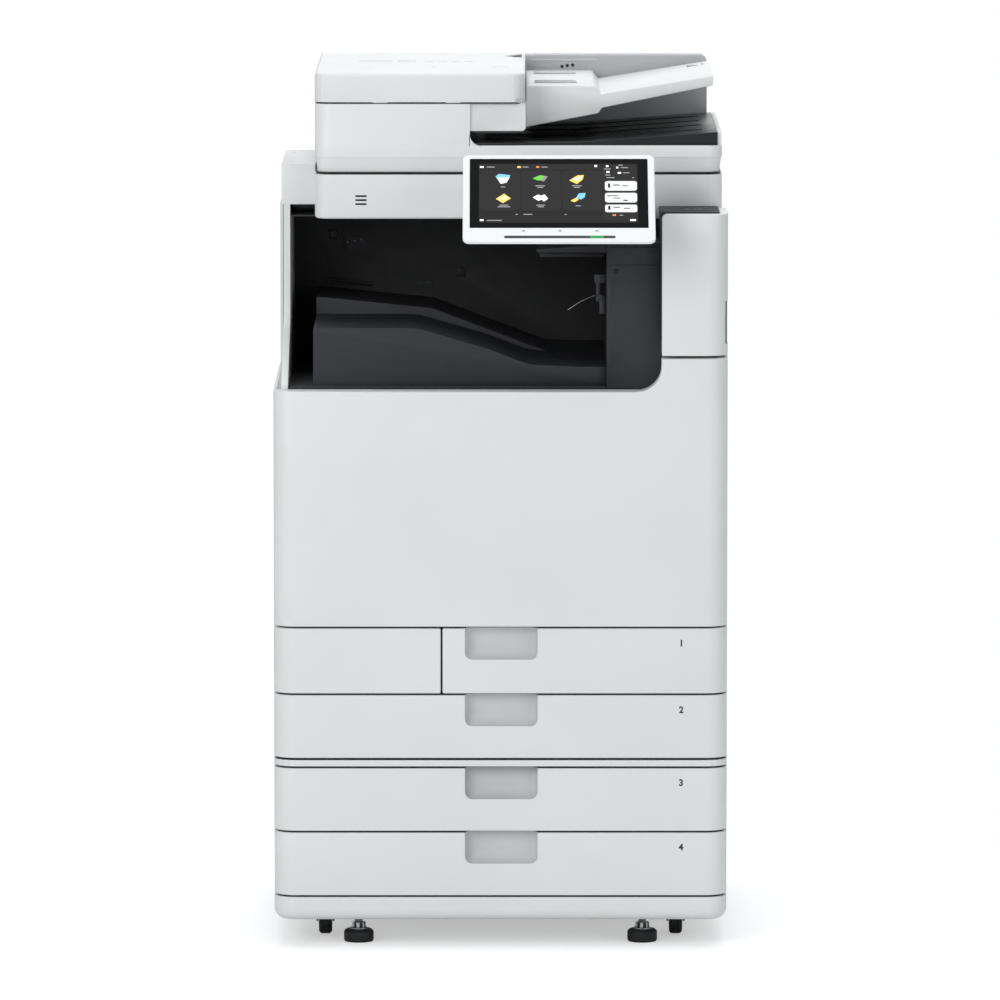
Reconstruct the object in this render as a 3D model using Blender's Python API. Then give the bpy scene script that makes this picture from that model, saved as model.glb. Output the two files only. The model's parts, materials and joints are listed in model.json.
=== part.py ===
"""A free-standing A3 copier: document feeder, scanner, touch panel, print unit and four paper drawers.

Metres, +Z up, +X to the user's right, the front faces -Y. The origin is on the floor, in the middle of
the footprint. Each named object is one piece of the real machine.
"""

import math

import bmesh
import bpy
from mathutils import Matrix, Vector

# Overall sizes.
WIDTH = 0.620
BODY_DEPTH = 0.596
PANEL_REACH = 0.126
CORNER = 0.030
SEAM = 0.0026
FIT = 0.0003
OVER = 0.002
WELD = 0.00001

# Heights, from the floor up.
SKIRT_BOTTOM = 0.037
SKIRT_HEIGHT = 0.0324
DRAWER_HEIGHT = 0.0865
RAIL_HEIGHT = 0.0088
TOP_DRAWER_HEIGHT = 0.0892
COVER_HEIGHT = 0.3221
BAY_HEIGHT = 0.2264
SCANNER_HEIGHT = 0.061
PLATEN_GAP = 0.0022
FEEDER_BASE_HEIGHT = 0.037
FEEDER_BLOCK_HEIGHT = 0.059
FEEDER_COVER_HEIGHT = 0.0395

# Walls and shells.
FRONT_THICK = 0.036
COVER_WALL = 0.004
FRAME_WALL = 0.003
SHELL = 0.003
PARTITION_DEPTH = 0.350

# Scanner and feeder.
SCANNER_SET_BACK = 0.125
SCANNER_LEFT = 0.055
SCANNER_RIGHT = 0.006
FEEDER_BLOCK_WIDTH = 0.213
FEEDER_COVER_WIDTH = 0.289
FEEDER_CORNER = 0.022
GLASS_WIDTH = 0.432
GLASS_DEPTH = 0.304
GLASS_THICK = 0.004

# Panel.
PANEL_WIDTH = 0.260
PANEL_LENGTH = 0.180
PANEL_THICK = 0.016
PANEL_TILT = math.radians(53.6)
PANEL_INSET = 0.231
PANEL_RISE = 0.0425
SCREEN_WIDTH = 0.241
SCREEN_LENGTH = 0.143
SCREEN_MARGIN = 0.0085
SCREEN_THICK = 0.003

# Drawers and casters.
TRAY_WALL = 0.0025
A3_ROOM = 0.430
A4_ROOM = 0.222
SHEET_ROOM = 0.302
POCKET_WIDTH = 0.0995
POCKET_HEIGHT = 0.0425
POCKET_DEPTH = 0.020
POCKET_ROUND = 0.010
POCKET_X = 0.001
WHEEL_RADIUS = 0.0245
WHEEL_WIDTH = 0.018
FOOT_RADIUS = 0.0205

# Places that follow from the sizes.
HALF = WIDTH / 2
FRONT = -(BODY_DEPTH + PANEL_REACH) / 2 + PANEL_REACH
REAR = FRONT + BODY_DEPTH
SLICE_BACK = FRONT + FRONT_THICK
FRAME_FRONT = SLICE_BACK + SEAM
FRAME_HALF = HALF - COVER_WALL - FIT
FRAME_REAR = REAR - COVER_WALL - FIT
PARTITION = FRAME_FRONT + PARTITION_DEPTH

SKIRT_TOP = SKIRT_BOTTOM + SKIRT_HEIGHT
Z4 = SKIRT_TOP + SEAM
Z3 = Z4 + DRAWER_HEIGHT + SEAM
Z_RAIL = Z3 + DRAWER_HEIGHT + SEAM
Z2 = Z_RAIL + RAIL_HEIGHT + SEAM
Z1 = Z2 + DRAWER_HEIGHT + SEAM
Z_COVER = Z1 + TOP_DRAWER_HEIGHT + SEAM
DECK = Z_COVER + COVER_HEIGHT
SCANNER_Z = DECK + BAY_HEIGHT
SCANNER_TOP = SCANNER_Z + SCANNER_HEIGHT
FEEDER_Z = SCANNER_TOP + PLATEN_GAP
BASE_TOP = FEEDER_Z + FEEDER_BASE_HEIGHT
BLOCK_TOP = BASE_TOP + FEEDER_BLOCK_HEIGHT
COVER_Z = BLOCK_TOP + SEAM / 2
TOP = COVER_Z + FEEDER_COVER_HEIGHT

SCANNER_FRONT = FRONT + SCANNER_SET_BACK
SCANNER_X = (-HALF + SCANNER_LEFT, HALF - SCANNER_RIGHT)
BLOCK_X = (SCANNER_X[0], SCANNER_X[0] + FEEDER_BLOCK_WIDTH)
COVER_X = (SCANNER_X[0], SCANNER_X[0] + FEEDER_COVER_WIDTH)

WHITE = ("white_plastic", (0.80, 0.81, 0.80), 0.45, 0.0)
PALE = ("pale_grey_plastic", (0.52, 0.53, 0.54), 0.5, 0.0)
DARK = ("charcoal_plastic", (0.018, 0.020, 0.024), 0.5, 0.0)
BLACK = ("black_plastic", (0.008, 0.009, 0.010), 0.4, 0.0)
STEEL = ("zinc_steel", (0.56, 0.57, 0.58), 0.35, 1.0)
RUBBER = ("rubber", (0.012, 0.012, 0.013), 0.85, 0.0)
GLASS = ("screen_glass", (0.010, 0.011, 0.013), 0.06, 0.0)
CLEAR = ("platen_glass_finish", (0.55, 0.62, 0.60), 0.05, 0.0)
DRUM = ("drum_coating", (0.05, 0.16, 0.20), 0.2, 0.0)


# Shapes.


def rounded(corners, radii, steps=5):
    """The outline through the corners, each one rounded by its own radius."""
    outline = []
    for index, corner in enumerate(corners):
        here = Vector(corner)
        if radii[index] == 0:
            outline.append(here)
            continue
        before = (Vector(corners[index - 1]) - here).normalized()
        after = (Vector(corners[(index + 1) % len(corners)]) - here).normalized()
        half_angle = before.angle(after) / 2
        reach = radii[index] / math.tan(half_angle)
        centre = here + (before + after).normalized() * (radii[index] / math.sin(half_angle))
        start = here + before * reach - centre
        end = here + after * reach - centre
        sweep = math.atan2(start.x * end.y - start.y * end.x, start.dot(end))
        for step in range(steps + 1):
            turn = sweep * step / steps
            across = Vector((-start.y, start.x))
            outline.append(centre + start * math.cos(turn) + across * math.sin(turn))
    return outline


def rectangle(across, along):
    """The four corners of a rectangle, from its two spans."""
    return [(across[0], along[0]), (across[1], along[0]), (across[1], along[1]), (across[0], along[1])]


def circle(centre, radius, sides):
    """A circle as a polygon."""
    turns = [2 * math.pi * side / sides for side in range(sides)]
    return [(centre[0] + radius * math.cos(turn), centre[1] + radius * math.sin(turn)) for turn in turns]


def finished(build, name):
    """The mesh of a bmesh, with its faces pointing out."""
    bmesh.ops.recalc_face_normals(build, faces=build.faces)
    if build.calc_volume(signed=True) < 0:
        bmesh.ops.reverse_faces(build, faces=build.faces)
    mesh = bpy.data.meshes.new(name)
    build.to_mesh(mesh)
    build.free()
    return mesh


def prism(outline, axis, span):
    """An outline extruded along an axis over a span."""
    slot = "xyz".index(axis)
    build = bmesh.new()
    low = []
    for point in outline:
        place = list(point)
        place.insert(slot, span[0])
        low.append(build.verts.new(place))
    face = build.faces.new(low)
    grown = bmesh.ops.extrude_face_region(build, geom=[face])
    moved = [item for item in grown["geom"] if isinstance(item, bmesh.types.BMVert)]
    shift = Vector()
    shift[slot] = span[1] - span[0]
    bmesh.ops.translate(build, verts=moved, vec=shift)
    return finished(build, "prism")


def box(x, y, z):
    """A box from its three spans."""
    return prism(rectangle(x, y), "z", z)


def rod(centre, radius, axis, span, sides=20):
    """A round bar along an axis."""
    return prism(circle(centre, radius, sides), axis, span)


def turned(profile, axis, centre, sides=20):
    """A solid of revolution from points of (place along the axis, radius)."""
    build = bmesh.new()
    points = [build.verts.new((radius, 0, along)) for along, radius in profile]
    edges = [build.edges.new(pair) for pair in zip(points, points[1:])]
    bmesh.ops.spin(build, geom=points + edges, cent=(0, 0, 0), axis=(0, 0, 1),
                   angle=2 * math.pi, steps=sides)
    bmesh.ops.remove_doubles(build, verts=build.verts, dist=WELD)
    for vert in build.verts:
        place = [vert.co.x + centre[0], vert.co.y + centre[1]]
        place.insert("xyz".index(axis), vert.co.z)
        vert.co = place
    return finished(build, "turned")


def softened(mesh, picks, width, segments=3):
    """The mesh with the edges bevelled whose two ends both pass the test."""
    build = bmesh.new()
    build.from_mesh(mesh)
    edges = [edge for edge in build.edges if all(picks(vert.co) for vert in edge.verts)]
    bmesh.ops.bevel(build, geom=edges, offset=width, segments=segments, profile=0.5,
                    affect="EDGES", clamp_overlap=True)
    return finished(build, mesh.name)


def dress(obj, look):
    """Give an object the material of its look: name, colour, roughness, metallic."""
    name, colour, roughness, metallic = look
    material = bpy.data.materials.get(name)
    if material is None:
        material = bpy.data.materials.new(name)
        material.use_nodes = True
        shader = material.node_tree.nodes["Principled BSDF"]
        shader.inputs["Base Color"].default_value = (*colour, 1.0)
        shader.inputs["Roughness"].default_value = roughness
        shader.inputs["Metallic"].default_value = metallic
    obj.data.materials.append(material)


def piece(name, mesh, look, pivot=(0, 0, 0)):
    """A named object from a mesh in world coordinates, with its origin at the pivot."""
    mesh.transform(Matrix.Translation(-Vector(pivot)))
    mesh.shade_smooth()
    mesh.set_sharp_from_angle(angle=math.radians(35))
    obj = bpy.data.objects.new(name, mesh)
    obj.location = pivot
    bpy.context.scene.collection.objects.link(obj)
    dress(obj, look)
    return obj


def helper(obj, mesh, operation):
    """Cut a mesh out of an object, or join it on, with a hidden helper."""
    guide = bpy.data.objects.new(f"helper_{len(bpy.data.objects)}", mesh)
    bpy.context.scene.collection.objects.link(guide)
    guide.hide_render = True
    guide.display_type = "WIRE"
    change = obj.modifiers.new(operation.lower(), "BOOLEAN")
    change.operation = operation
    change.solver = "EXACT"
    change.object = guide


def cut(obj, mesh):
    """Take a mesh away from an object."""
    helper(obj, mesh, "DIFFERENCE")


def join(obj, mesh):
    """Make a mesh one body with an object."""
    helper(obj, mesh, "UNION")


def grown(span, margin):
    """A span made longer by the margin at both ends."""
    return (span[0] - margin, span[1] + margin)


def front_slice(z, x=(-HALF, HALF)):
    """A slice of the body's front, with round corners where it reaches the sides."""
    radii = [CORNER if x[0] == -HALF else 0, CORNER if x[1] == HALF else 0, 0, 0]
    return prism(rounded(rectangle(x, (FRONT, SLICE_BACK)), radii), "z", z)


# Base: skirt, casters and levelling feet.

SKIRT_WALL = 0.014
SKIRT_ROOF = 0.004
SKIRT_BEVEL = 0.012
REAR_CORNER = 0.016
CEILING = SKIRT_TOP - SKIRT_ROOF
CASTER_SIDE_INSET = 0.068
CASTER_X = HALF - CASTER_SIDE_INSET
CASTER_INSET = 0.112
CASTER_REAR_INSET = 0.070
TRAIL = 0.014
STEM_RADIUS = 0.005
CHEEK = 0.0025
CHEEK_GAP = 0.001
AXLE_RADIUS = 0.004
FORK_FRONT = 0.012
FORK_REAR = 0.010
FORK_PLATE = 0.004
CHEEK_TIP = 0.008
CHEEK_RISE = 0.006
TREAD_ROUND = 0.003
FOOT_SIDE_INSET = 0.115
FOOT_X = HALF - FOOT_SIDE_INSET
FOOT_INSET = 0.060
FOOT_DISC = 0.017
FOOT_ROUND = 0.003
FOOT_STEM = 0.0195
NUT_RADIUS = 0.0095
NUT_HEIGHT = 0.009
BOSS_WALL = 0.004
BOSS_RISE = 0.011
CASTERS = [
    (-CASTER_X, FRONT + CASTER_INSET),
    (CASTER_X, FRONT + CASTER_INSET),
    (-CASTER_X, REAR - CASTER_REAR_INSET),
    (CASTER_X, REAR - CASTER_REAR_INSET),
]
FEET = {"levelling_foot_left": -FOOT_X, "levelling_foot_right": FOOT_X}
FOOT_Y = FRONT + FOOT_INSET


def build_skirt():
    """The open-bottomed pan that the machine stands on."""
    plan = rounded(rectangle((-HALF, HALF), (FRONT, REAR)), [CORNER, CORNER, REAR_CORNER, REAR_CORNER])
    shell = prism(plan, "z", (SKIRT_BOTTOM, SKIRT_TOP))
    shell = softened(shell, lambda point: point.z < SKIRT_BOTTOM + FIT, SKIRT_BEVEL)
    skirt = piece("base_skirt", shell, WHITE)
    inside = rectangle((SKIRT_WALL - HALF, HALF - SKIRT_WALL), (FRONT + SKIRT_WALL, REAR - SKIRT_WALL))
    cut(skirt, prism(rounded(inside, [CORNER - SKIRT_WALL] * 4), "z", (SKIRT_BOTTOM - OVER, CEILING)))
    for x in FEET.values():
        boss = (SKIRT_BOTTOM + BOSS_RISE, CEILING + OVER)
        join(skirt, rod((x, FOOT_Y), STEM_RADIUS + BOSS_WALL, "z", boss))
    for centre in CASTERS + [(x, FOOT_Y) for x in FEET.values()]:
        cut(skirt, rod(centre, STEM_RADIUS + FIT, "z", (SKIRT_BOTTOM, SKIRT_TOP + OVER), 16))


def build_casters():
    """Four swivel casters: a fork with a stem in the skirt, and a wheel with its axle."""
    for number, (x, y) in enumerate(CASTERS, start=1):
        axle = (y + TRAIL, WHEEL_RADIUS)
        inner = WHEEL_WIDTH / 2 + CHEEK_GAP
        outer = inner + CHEEK
        plate_top = CEILING - FIT
        plate_bottom = plate_top - FORK_PLATE
        span = (y - FORK_FRONT, axle[0] + FORK_REAR)
        tip = WHEEL_RADIUS - CHEEK_RISE
        profile = [
            (span[0], plate_top), (span[0], plate_bottom), (axle[0] - CHEEK_TIP, tip),
            (axle[0] + CHEEK_TIP, tip), (span[1], plate_bottom), (span[1], plate_top),
        ]
        fork = piece(f"caster_fork_{number}", prism(profile, "x", (x - outer, x + outer)), STEEL, (x, y, 0))
        cut(fork, box((x - inner, x + inner), grown(span, OVER), (0, plate_bottom)))
        join(fork, rod((x, y), STEM_RADIUS, "z", (plate_top - OVER, SKIRT_TOP - FIT), 16))
        cut(fork, rod(axle, AXLE_RADIUS + FIT, "x", (x - outer - OVER, x + outer + OVER), 16))
        tread = WHEEL_WIDTH / 2
        flat = tread - TREAD_ROUND
        side = WHEEL_RADIUS - TREAD_ROUND
        rim = [
            (x - outer, 0), (x - outer, AXLE_RADIUS), (x - tread, AXLE_RADIUS), (x - tread, side),
            (x - flat, WHEEL_RADIUS), (x + flat, WHEEL_RADIUS),
            (x + tread, side), (x + tread, AXLE_RADIUS), (x + outer, AXLE_RADIUS), (x + outer, 0),
        ]
        piece(f"caster_wheel_{number}", turned(rim, "x", axle), RUBBER, (x, *axle))


def build_feet():
    """Two levelling feet: a rubber disc, a hexagon nut and a threaded stem in the skirt's boss."""
    for name, x in FEET.items():
        stem_top = SKIRT_BOTTOM + FOOT_STEM
        shoulder = FOOT_DISC - FOOT_ROUND
        profile = [
            (0, 0), (0, FOOT_RADIUS - FOOT_ROUND / 3), (FOOT_ROUND, FOOT_RADIUS), (shoulder, FOOT_RADIUS),
            (FOOT_DISC, FOOT_RADIUS - FOOT_ROUND), (FOOT_DISC, STEM_RADIUS),
            (stem_top, STEM_RADIUS), (stem_top, 0),
        ]
        foot = piece(name, turned(profile, "z", (x, FOOT_Y), 24), RUBBER, (x, FOOT_Y, 0))
        join(foot, rod((x, FOOT_Y), NUT_RADIUS, "z", (FOOT_DISC - FIT, FOOT_DISC + NUT_HEIGHT), 6))


# Frames and outer covers.

WASTE_DOOR_WIDTH = 0.2295
SPLIT = WASTE_DOOR_WIDTH - HALF
COVER_EAR = 0.0478
RIGHT_COVER_WIDTH = 0.0905
COLUMN_X = HALF - RIGHT_COVER_WIDTH
BAY_DEPTH = 0.450
BAY_BACK = FRONT + BAY_DEPTH
DOOR_SET_BACK = 0.050
DOOR_WIDTH = 0.400
DOOR_Y = (FRONT + DOOR_SET_BACK, FRONT + DOOR_SET_BACK + DOOR_WIDTH)
DOOR_RISE = 0.020
DOOR_TOP_GAP = 0.002
DOOR_Z = (Z_COVER + DOOR_RISE, DECK + COVER_EAR - DOOR_TOP_GAP)
DOOR_THICK = 0.0135
LUG_INSET = 0.060
HINGE_LUG_X = (LUG_INSET - HALF, HALF - LUG_INSET)
LUG_WIDTH = 0.012
LUG_REACH = 0.020
LUG_HEIGHT = 0.009
LUG_SLACK = 0.001
LINK_INSET = 0.001


def build_frame(name, z, bays, look):
    """A sheet-metal box, open to the front for its bays and open to the back behind the partition."""
    frame = piece(name, box((-FRAME_HALF, FRAME_HALF), (FRAME_FRONT, FRAME_REAR), z), look)
    inner = FRAME_HALF - FRAME_WALL
    for x, heights in bays:
        cut(frame, box(x, (FRAME_FRONT - OVER, PARTITION), heights))
    rear = (PARTITION + FRAME_WALL, FRAME_REAR + OVER)
    cut(frame, box((-inner, inner), rear, (z[0] + FRAME_WALL, z[1] - FRAME_WALL)))
    return frame


def bay_heights(floor, ceiling):
    """The clear height between two shelves that lie in the middle of their seams."""
    return (floor - SEAM / 2 + FRAME_WALL / 2, ceiling - SEAM / 2 - FRAME_WALL / 2)


def build_pedestal():
    """The frame of drawers 3 and 4, with its four floor holes for what stands in the skirt."""
    inner = FRAME_HALF - FRAME_WALL
    bottom = SKIRT_TOP + FIT
    top = Z_RAIL - FIT
    bays = [
        ((-inner, inner), (bottom + FRAME_WALL, bay_heights(Z4, Z3)[1])),
        ((-inner, inner), (bay_heights(Z3, Z_RAIL)[0], top - FRAME_WALL)),
    ]
    return build_frame("pedestal_frame", (bottom, top), bays, STEEL)


def build_main_frame():
    """The print unit's frame: two drawer bays, the process bay and the tower behind the output bay."""
    inner = FRAME_HALF - FRAME_WALL
    web = FRAME_WALL / 2
    process = bay_heights(Z_COVER, DECK)[0]
    bays = [
        ((-inner, inner), (Z_RAIL + FRAME_WALL, bay_heights(Z2, Z1)[1])),
        ((-inner, SPLIT - web), bay_heights(Z1, Z_COVER)),
        ((SPLIT + web, inner), bay_heights(Z1, Z_COVER)),
        ((-inner, inner), (process, DECK - FRAME_WALL)),
    ]
    frame = build_frame("main_frame", (Z_RAIL, DECK), bays, STEEL)
    tower_top = SCANNER_Z - FIT
    sink = DECK - FRAME_WALL / 2
    tower = (sink, tower_top)
    join(frame, box((COLUMN_X + FIT, FRAME_HALF), (SCANNER_FRONT + FIT, FRAME_REAR), tower))
    join(frame, box((FRAME_WALL - FRAME_HALF, COLUMN_X + OVER), (BAY_BACK + FIT, FRAME_REAR), tower))
    hollow = (DECK + FRAME_WALL, tower_top - FRAME_WALL)
    rear = (BAY_BACK + 2 * FRAME_WALL, FRAME_REAR + OVER)
    cut(frame, box((2 * FRAME_WALL - FRAME_HALF, inner), rear, hollow))
    side = (COLUMN_X + FIT + FRAME_WALL, FRAME_HALF + OVER)
    cut(frame, box(side, (SCANNER_FRONT + FIT + FRAME_WALL, BAY_BACK), hollow))
    doorway = (grown(DOOR_Y, OVER), (DOOR_Z[0] - FIT, DOOR_Z[1] + OVER))
    cut(frame, box((HALF - DOOR_THICK - OVER, FRAME_HALF + OVER), *doorway))
    rail = (Z_RAIL, Z_RAIL + RAIL_HEIGHT)
    join(frame, front_slice(rail))
    link = (SLICE_BACK - OVER, FRAME_FRONT + OVER)
    join(frame, box((-inner, inner), link, grown(rail, -LINK_INSET)))
    for x in HINGE_LUG_X:
        lug = (x - LUG_WIDTH / 2, x + LUG_WIDTH / 2)
        reach = (SLICE_BACK - LUG_REACH, FRAME_FRONT + OVER)
        join(frame, box(lug, reach, (Z_COVER, Z_COVER + LUG_HEIGHT)))
    return frame


def build_side_covers():
    """Left, right and rear sheets, with the doorway in the right one and the inlet's hole in the rear one."""
    deep = (SLICE_BACK + SEAM, REAR)
    tall = (SKIRT_TOP + SEAM, SCANNER_Z - SEAM)
    left = [
        (deep[0], tall[0]), (deep[1], tall[0]), (deep[1], tall[1]), (BAY_BACK, tall[1]), (BAY_BACK, DECK),
        (deep[0], DECK),
    ]
    piece("left_cover", prism(left, "x", (-HALF, COVER_WALL - HALF)), WHITE)
    step = DECK + COVER_EAR
    right = [
        (deep[0], tall[0]), (deep[1], tall[0]), (deep[1], tall[1]), (SCANNER_FRONT + SEAM, tall[1]),
        (SCANNER_FRONT + SEAM, step), (deep[0], step),
    ]
    cover = piece("right_cover", prism(right, "x", (HALF - COVER_WALL, HALF)), WHITE)
    cut(cover, box((HALF - DOOR_THICK, HALF + OVER), grown(DOOR_Y, SEAM), grown(DOOR_Z, SEAM)))
    sides = HALF - COVER_WALL - FIT
    rear = piece("rear_cover", box((-sides, sides), (REAR - COVER_WALL, REAR), tall), WHITE)
    cut(rear, box(grown(INLET_X, FIT), (REAR - COVER_WALL - OVER, REAR + OVER), grown(INLET_Z, FIT)))


INLET_INSET = 0.070
INLET_WIDTH = 0.032
INLET_X = (INLET_INSET - HALF, INLET_INSET + INLET_WIDTH - HALF)
INLET_BOTTOM = 0.110
INLET_HEIGHT = 0.024
INLET_Z = (INLET_BOTTOM, INLET_BOTTOM + INLET_HEIGHT)
INLET_DEPTH = 0.026
INLET_WALL = 0.0035
INLET_FLOOR = 0.004
INLET_FLANGE = 0.004
INLET_PINS = ((-0.007, -0.002), (0, 0.003), (0.007, -0.002))
INLET_PIN_SIZE = (0.001, 0.002)
INLET_PIN_SINK = 0.005


def build_inlet():
    """The mains inlet: a moulded socket with three flat pins."""
    inlet = piece("power_inlet", box(INLET_X, (REAR - INLET_DEPTH, REAR), INLET_Z), BLACK)
    cavity_floor = REAR - INLET_DEPTH + INLET_FLOOR
    cut(inlet, box(grown(INLET_X, -INLET_WALL), (cavity_floor, REAR + OVER), grown(INLET_Z, -INLET_WALL)))
    middle = (sum(INLET_X) / 2, sum(INLET_Z) / 2)
    for x, z in INLET_PINS:
        across = grown((middle[0] + x,) * 2, INLET_PIN_SIZE[0])
        upward = grown((middle[1] + z,) * 2, INLET_PIN_SIZE[1])
        join(inlet, box(across, (cavity_floor - OVER, REAR - INLET_PIN_SINK), upward))
    flange = (REAR - INLET_DEPTH, REAR - COVER_WALL - FIT)
    join(inlet, box(grown(INLET_X, INLET_FLANGE), flange, grown(INLET_Z, INLET_FLANGE)))


# Front: cover, waste toner door and bottle, drawers.

FACE_THICK = 0.012
HINGE_INSET = 0.004
COVER_FOOT = 0.020
COVER_RIM = 0.006
WASTE_FOOT = 0.012
WASTE_HEAD = 0.0142
DOOR_RELIEF = 0.008
RELIEF_FACE = 0.022
TONGUE_HALF = 0.020
TONGUE_REACH = 0.010
BOTTLE_GAP = 0.006
BOTTLE_ROUND = 0.012
BOTTLE_HEADROOM = 0.012
BOTTLE_FRONT_GAP = 0.014
BOTTLE_REAR_GAP = 0.060
BOTTLE_GRIP = (0.030, 0.022, 0.025)


def lug_slot(x, z, reach=LUG_REACH):
    """The room around a hinge lug behind a front cover's lower edge."""
    span = (x - LUG_WIDTH / 2 - FIT, x + LUG_WIDTH / 2 + FIT)
    return box(span, (SLICE_BACK - reach - LUG_SLACK, SLICE_BACK + OVER), (z - OVER, z + LUG_HEIGHT + OVER))


def build_front_cover():
    """The tall front cover with its raised right end, on two hinge lugs at its lower edge."""
    pivot = (0, FRONT + HINGE_INSET, Z_COVER + HINGE_INSET)
    cover = piece("front_cover", front_slice((Z_COVER, DECK)), WHITE, pivot)
    join(cover, front_slice((DECK - OVER, DECK + COVER_EAR - SEAM), (COLUMN_X, HALF)))
    hollow = (FRONT + FACE_THICK, SLICE_BACK + OVER)
    cut(cover, box((CORNER - HALF, HALF - CORNER), hollow, (Z_COVER + COVER_FOOT, DECK - COVER_RIM)))
    for x in HINGE_LUG_X:
        cut(cover, lug_slot(x, Z_COVER))


def build_waste_door():
    """The small door left of drawer 1, hinged at its lower edge, and the waste toner bottle behind it."""
    pivot = (0, FRONT + HINGE_INSET, Z1 + HINGE_INSET)
    span = (-HALF, SPLIT - SEAM / 2)
    top = Z1 + TOP_DRAWER_HEIGHT
    door = piece("waste_toner_door", front_slice((Z1, top), span), WHITE, pivot)
    hollow = (FRONT + FACE_THICK, SLICE_BACK + OVER)
    cut(door, box((CORNER - HALF, span[1] - COVER_RIM), hollow, (Z1 + WASTE_FOOT, top - WASTE_HEAD)))
    relief = (FRONT + RELIEF_FACE, SLICE_BACK + OVER)
    cut(door, box(grown(span, OVER), relief, (top - DOOR_RELIEF, top + OVER)))
    middle = sum(span) / 2
    shelf = bay_heights(Z1, Z_COVER)
    root = (SLICE_BACK - OVER / 2, shelf[0] + FIT)
    tip = (SLICE_BACK + TONGUE_REACH, root[1])
    tongue = [root, tip, (root[0], root[1] + tip[0] - root[0])]
    join(door, prism(tongue, "x", (middle - TONGUE_HALF, middle + TONGUE_HALF)))
    across = (COVER_WALL + BOTTLE_GAP - HALF, SPLIT - BOTTLE_GAP)
    along = (SLICE_BACK + BOTTLE_FRONT_GAP, PARTITION - BOTTLE_REAR_GAP)
    outline = rounded(rectangle(across, along), [BOTTLE_ROUND] * 4, 3)
    body = prism(outline, "z", (shelf[0] + FIT, shelf[1] - BOTTLE_HEADROOM))
    bottle = piece("waste_toner_bottle", body, PALE)
    half, depth, rise = BOTTLE_GRIP
    grip = grown((sum(across) / 2,) * 2, half)
    cut(bottle, box(grip, (along[0] - OVER, along[0] + depth), (shelf[0] + rise, shelf[1])))


def finger_pocket(centre, top):
    """The scoop under a drawer's upper edge."""
    across = (centre - POCKET_WIDTH / 2, centre + POCKET_WIDTH / 2)
    corners = rectangle(across, (top - POCKET_HEIGHT, top + OVER))
    outline = rounded(corners, [POCKET_ROUND, POCKET_ROUND, 0, 0], 4)
    return prism(outline, "y", (FRONT - OVER, FRONT + POCKET_DEPTH))


TRAY_HEADROOM = 0.0345
TOP_TRAY_HEADROOM = 0.0372
A4_OFFSET = 0.121
A3_OFFSET = -0.007
A4_X = (A4_OFFSET - A4_ROOM / 2, A4_OFFSET + A4_ROOM / 2)
A3_X = (A3_OFFSET - A3_ROOM / 2, A3_OFFSET + A3_ROOM / 2)
DRAWERS = [
    (1, Z1, TOP_DRAWER_HEIGHT, TOP_TRAY_HEADROOM, (SPLIT + SEAM / 2, HALF), A4_X),
    (2, Z2, DRAWER_HEIGHT, TRAY_HEADROOM, (-HALF, HALF), A3_X),
    (3, Z3, DRAWER_HEIGHT, TRAY_HEADROOM, (-HALF, HALF), A3_X),
    (4, Z4, DRAWER_HEIGHT, TRAY_HEADROOM, (-HALF, HALF), A3_X),
]
RUNNER = 0.005
RUNNER_HEIGHT = 0.014
FLOOR_GAP = 0.0022
FEED_RADIUS = 0.0095
FEED_SHAFT = 0.004
PLATE_THICK = 0.002
PLATE_GAP = 0.0008
PLATE_END_GAP = 0.001
PLATE_NOTCH = (0.015, 0.060)
PARTITION_GAP = 0.020
SHAFT_END = 0.005
FEED_INSET = 0.014
FEED_LENGTH = 0.170
FEED_CLEAR = 0.0015


def tray_floor(z):
    """The underside of a drawer's tray, just over the shelf."""
    return z + FLOOR_GAP


def build_drawers():
    """Four drawers: a front with its pocket, an open tray and two runners, each with a lift plate."""
    for number, z, height, headroom, span, room in DRAWERS:
        drawer = piece(f"drawer_{number}", front_slice((z, z + height), span), WHITE)
        cut(drawer, finger_pocket(POCKET_X, z + height))
        floor = tray_floor(z)
        top = floor + height - headroom
        back = SLICE_BACK + SHEET_ROOM + TRAY_WALL
        join(drawer, box(grown(room, TRAY_WALL), (SLICE_BACK - OVER, back), (floor, top)))
        cut(drawer, box(room, (SLICE_BACK, back - TRAY_WALL), (floor + TRAY_WALL, top + OVER)))
        limits = (max(span[0], FRAME_WALL - FRAME_HALF), FRAME_HALF - FRAME_WALL)
        wall = (FRAME_WALL - SEAM) / 2 if number == 1 else 0
        for edge, inward in ((limits[0] + wall, 1), (limits[1], -1)):
            runner = sorted((edge + inward * FIT, edge + inward * (FIT + RUNNER)))
            join(drawer, box(runner, (SLICE_BACK - OVER, back), (floor, floor + RUNNER_HEIGHT)))
        build_lift_plate(number, floor, room)


def build_lift_plate(number, floor, room):
    """The hinged plate that raises the paper in a drawer to its feed roller."""
    low = floor + TRAY_WALL + FIT
    plan = (grown(room, -PLATE_GAP), (SLICE_BACK + PLATE_END_GAP, SLICE_BACK + SHEET_ROOM - PLATE_END_GAP))
    pivot = (plan[0][0] + PLATE_THICK / 2, 0, low + PLATE_THICK / 2)
    plate = piece(f"lift_plate_{number}", box(*plan, (low, low + PLATE_THICK)), STEEL, pivot)
    notch = grown((sum(room) / 2,) * 2, PLATE_NOTCH[0])
    cut(plate, box(notch, (SLICE_BACK, SLICE_BACK + PLATE_NOTCH[1]), (low - OVER, low + PLATE_THICK + OVER)))


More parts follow.
